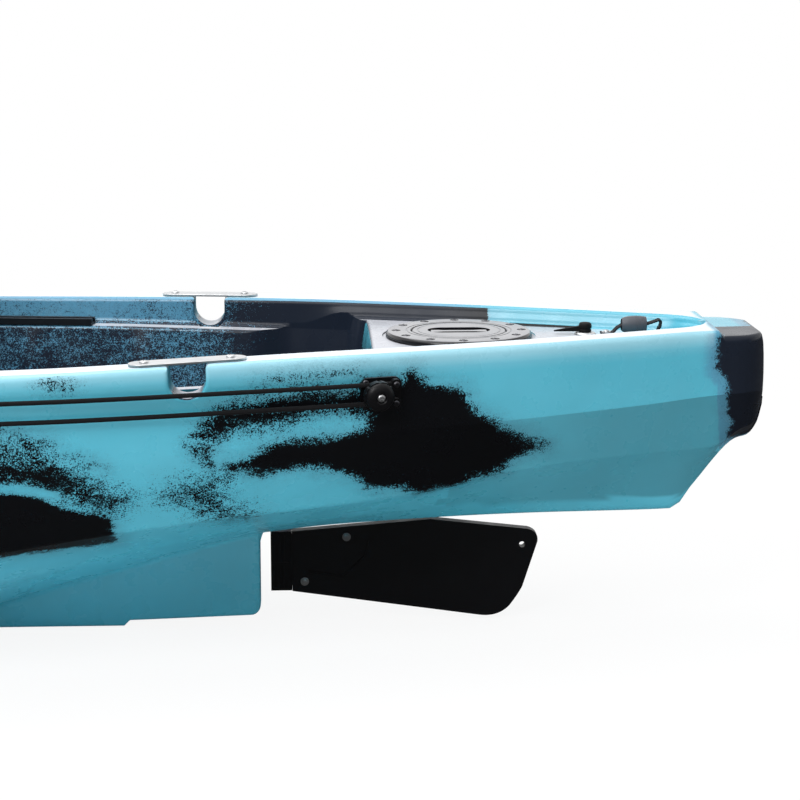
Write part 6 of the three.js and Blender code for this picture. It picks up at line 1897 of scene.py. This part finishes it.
    blades = [moved(skin(bladeRings), turned(turn, "X") @ at(-84.5)) for turn in (0, 180)]
    hub = moved(lathe([(0, -67), (19.6, -67), (21, -69), (17.4, -101), (16, -103), (14.4, -107), (8.6, -119),
                       (5, -124), (0, -126)][::-1], 56), lie)
    build("propeller", "propeller_drive", *black, ["propeller"], hub, add=blades,
          cut=[rodX(6.1, -113, -57, 40)], place=unit @ at(legX, 0, prop), edge=0.5, segments=2)


buildDrive()


# Shafts and gears keep the model's own meshes, with a finish of their own
def dressNodes():
    for node in ("crank_gear", "leg_gear", "lower_gear", "leg_shaft", "prop_shaft"):
        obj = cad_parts[node]
        obj.data.materials.clear()
        obj.data.materials.append(steel)


dressNodes()
print("stage 8: drive built")


# Camera, light and floor.
# The backdrop is bright only behind the kayak, so level tops shine and sides stay deep.
studioSizes = {
    "lens": 90.0, "sensor": 36.0, "place": (-1.1643, 2.7617, 0.8775), "pitch": 11.389, "yaw": 2.555,
    "floor": 30.0, "shadow": 0.10, "fadeFrom": 0.5, "fadeTo": 2.2, "diffuseLight": 1.0, "floorBounce": 0.92,
    "shineBehind": 1.15, "shineAhead": 0.10, "floorShine": 0.07,
    "lamps": [("key", (0.5, 2.7, 2.9), (-0.8, 0, 0.3), 2.0, 98),
              ("top", (-0.3, -0.4, 3.2), (-0.6, 0, 0.3), 3.0, 66)]}


def buildCamera():
    data = bpy.data.cameras.new("camera")
    data.lens, data.sensor_width = studioSizes["lens"], studioSizes["sensor"]
    camera = bpy.data.objects.new("camera", data)
    camera.location = studioSizes["place"]
    camera.rotation_euler = (math.radians(90 - studioSizes["pitch"]), 0,
                             math.radians(180 - studioSizes["yaw"]))
    scene.collection.objects.link(camera)
    scene.camera = camera


# White floor that keeps a soft shadow near the kayak and fades into the backdrop
def buildFloor():
    size = studioSizes["floor"]
    mesh = bpy.data.meshes.new("floor")
    mesh.from_pydata([(-size, -size, -0.001), (size, -size, -0.001), (size, size, -0.001),
                      (-size, size, -0.001)], [], [(0, 1, 2, 3)])
    floor = bpy.data.objects.new("floor", mesh)
    scene.collection.objects.link(floor)
    material = bpy.data.materials.new("floorWhite")
    material.use_nodes = True
    tree = material.node_tree
    tree.nodes.clear()
    make = Nodes(tree)
    bounce = studioSizes["floorBounce"]
    diffuse = make.feed(make.make("ShaderNodeBsdfDiffuse"), i0=(bounce, bounce, bounce, 1))
    glow = make.feed(make.make("ShaderNodeEmission"), i0=(1, 1, 1, 1), i1=1.0)
    dim = make.feed(make.make("ShaderNodeEmission"), i0=(1, 1, 1, 1), i1=studioSizes["floorShine"])
    path = make.make("ShaderNodeLightPath")
    where = make.mapped(make.make("ShaderNodeTexCoord").outputs["Object"], (0.3, 1, 0))
    away = make.feed(make.make("ShaderNodeVectorMath", operation="LENGTH"), i0=where).outputs["Value"]
    fade = make.between(away, studioSizes["fadeFrom"], studioSizes["fadeTo"], 1 - studioSizes["shadow"], 1.0)
    share = make.times(path.outputs["Is Camera Ray"], fade)
    seen, whole = make.make("ShaderNodeMixShader"), make.make("ShaderNodeMixShader")
    make.feed(seen, i0=share, i1=diffuse.outputs[0], i2=glow.outputs[0])
    make.feed(whole, i0=path.outputs["Is Glossy Ray"], i1=seen.outputs[0], i2=dim.outputs[0])
    tree.links.new(whole.outputs[0], make.make("ShaderNodeOutputMaterial").inputs[0])
    mesh.materials.append(material)


def buildWorld():
    world = bpy.data.worlds.new("studio")
    scene.world = world
    world.use_nodes = True
    tree = world.node_tree
    make = Nodes(tree)
    path = make.make("ShaderNodeLightPath")
    aim = make.make("ShaderNodeSeparateXYZ")
    make.feed(aim, i0=make.make("ShaderNodeTexCoord").outputs["Generated"])
    light = make.between(aim.outputs[2], -0.3, 0.8, 0.35 * studioSizes["diffuseLight"],
                         studioSizes["diffuseLight"])
    light = make.times(light, make.between(aim.outputs[0], -0.9, 0.5, 0.5, 1.0))
    shine = make.between(aim.outputs[1], -0.15, 0.3, studioSizes["shineBehind"], studioSizes["shineAhead"])
    shine = make.math("MAXIMUM", shine, make.between(aim.outputs[2], 0.3, 0.75, 0.0,
                                                     studioSizes["shineBehind"]))
    glossy = path.outputs["Is Glossy Ray"]
    level = make.plus(make.times(light, make.minus(1.0, glossy)), make.times(shine, glossy))
    camera = path.outputs["Is Camera Ray"]
    level = make.plus(make.times(level, make.minus(1.0, camera)), camera)
    ground = tree.nodes["Background"]
    ground.inputs[0].default_value = (1, 1, 1, 1)
    tree.links.new(level, ground.inputs[1])


def buildLamps():
    for name, place, aim, size, power in studioSizes["lamps"]:
        data = bpy.data.lights.new(name, "AREA")
        data.shape, data.size, data.energy = "DISK", size, power
        lamp = bpy.data.objects.new(name, data)
        lamp.location = place
        lamp.rotation_euler = (Vector(aim) - Vector(place)).to_track_quat("-Z", "Y").to_euler()
        scene.collection.objects.link(lamp)


buildCamera()
buildFloor()
buildWorld()
buildLamps()
scene.view_settings.view_transform = "Standard"
print("stage 9: studio set")
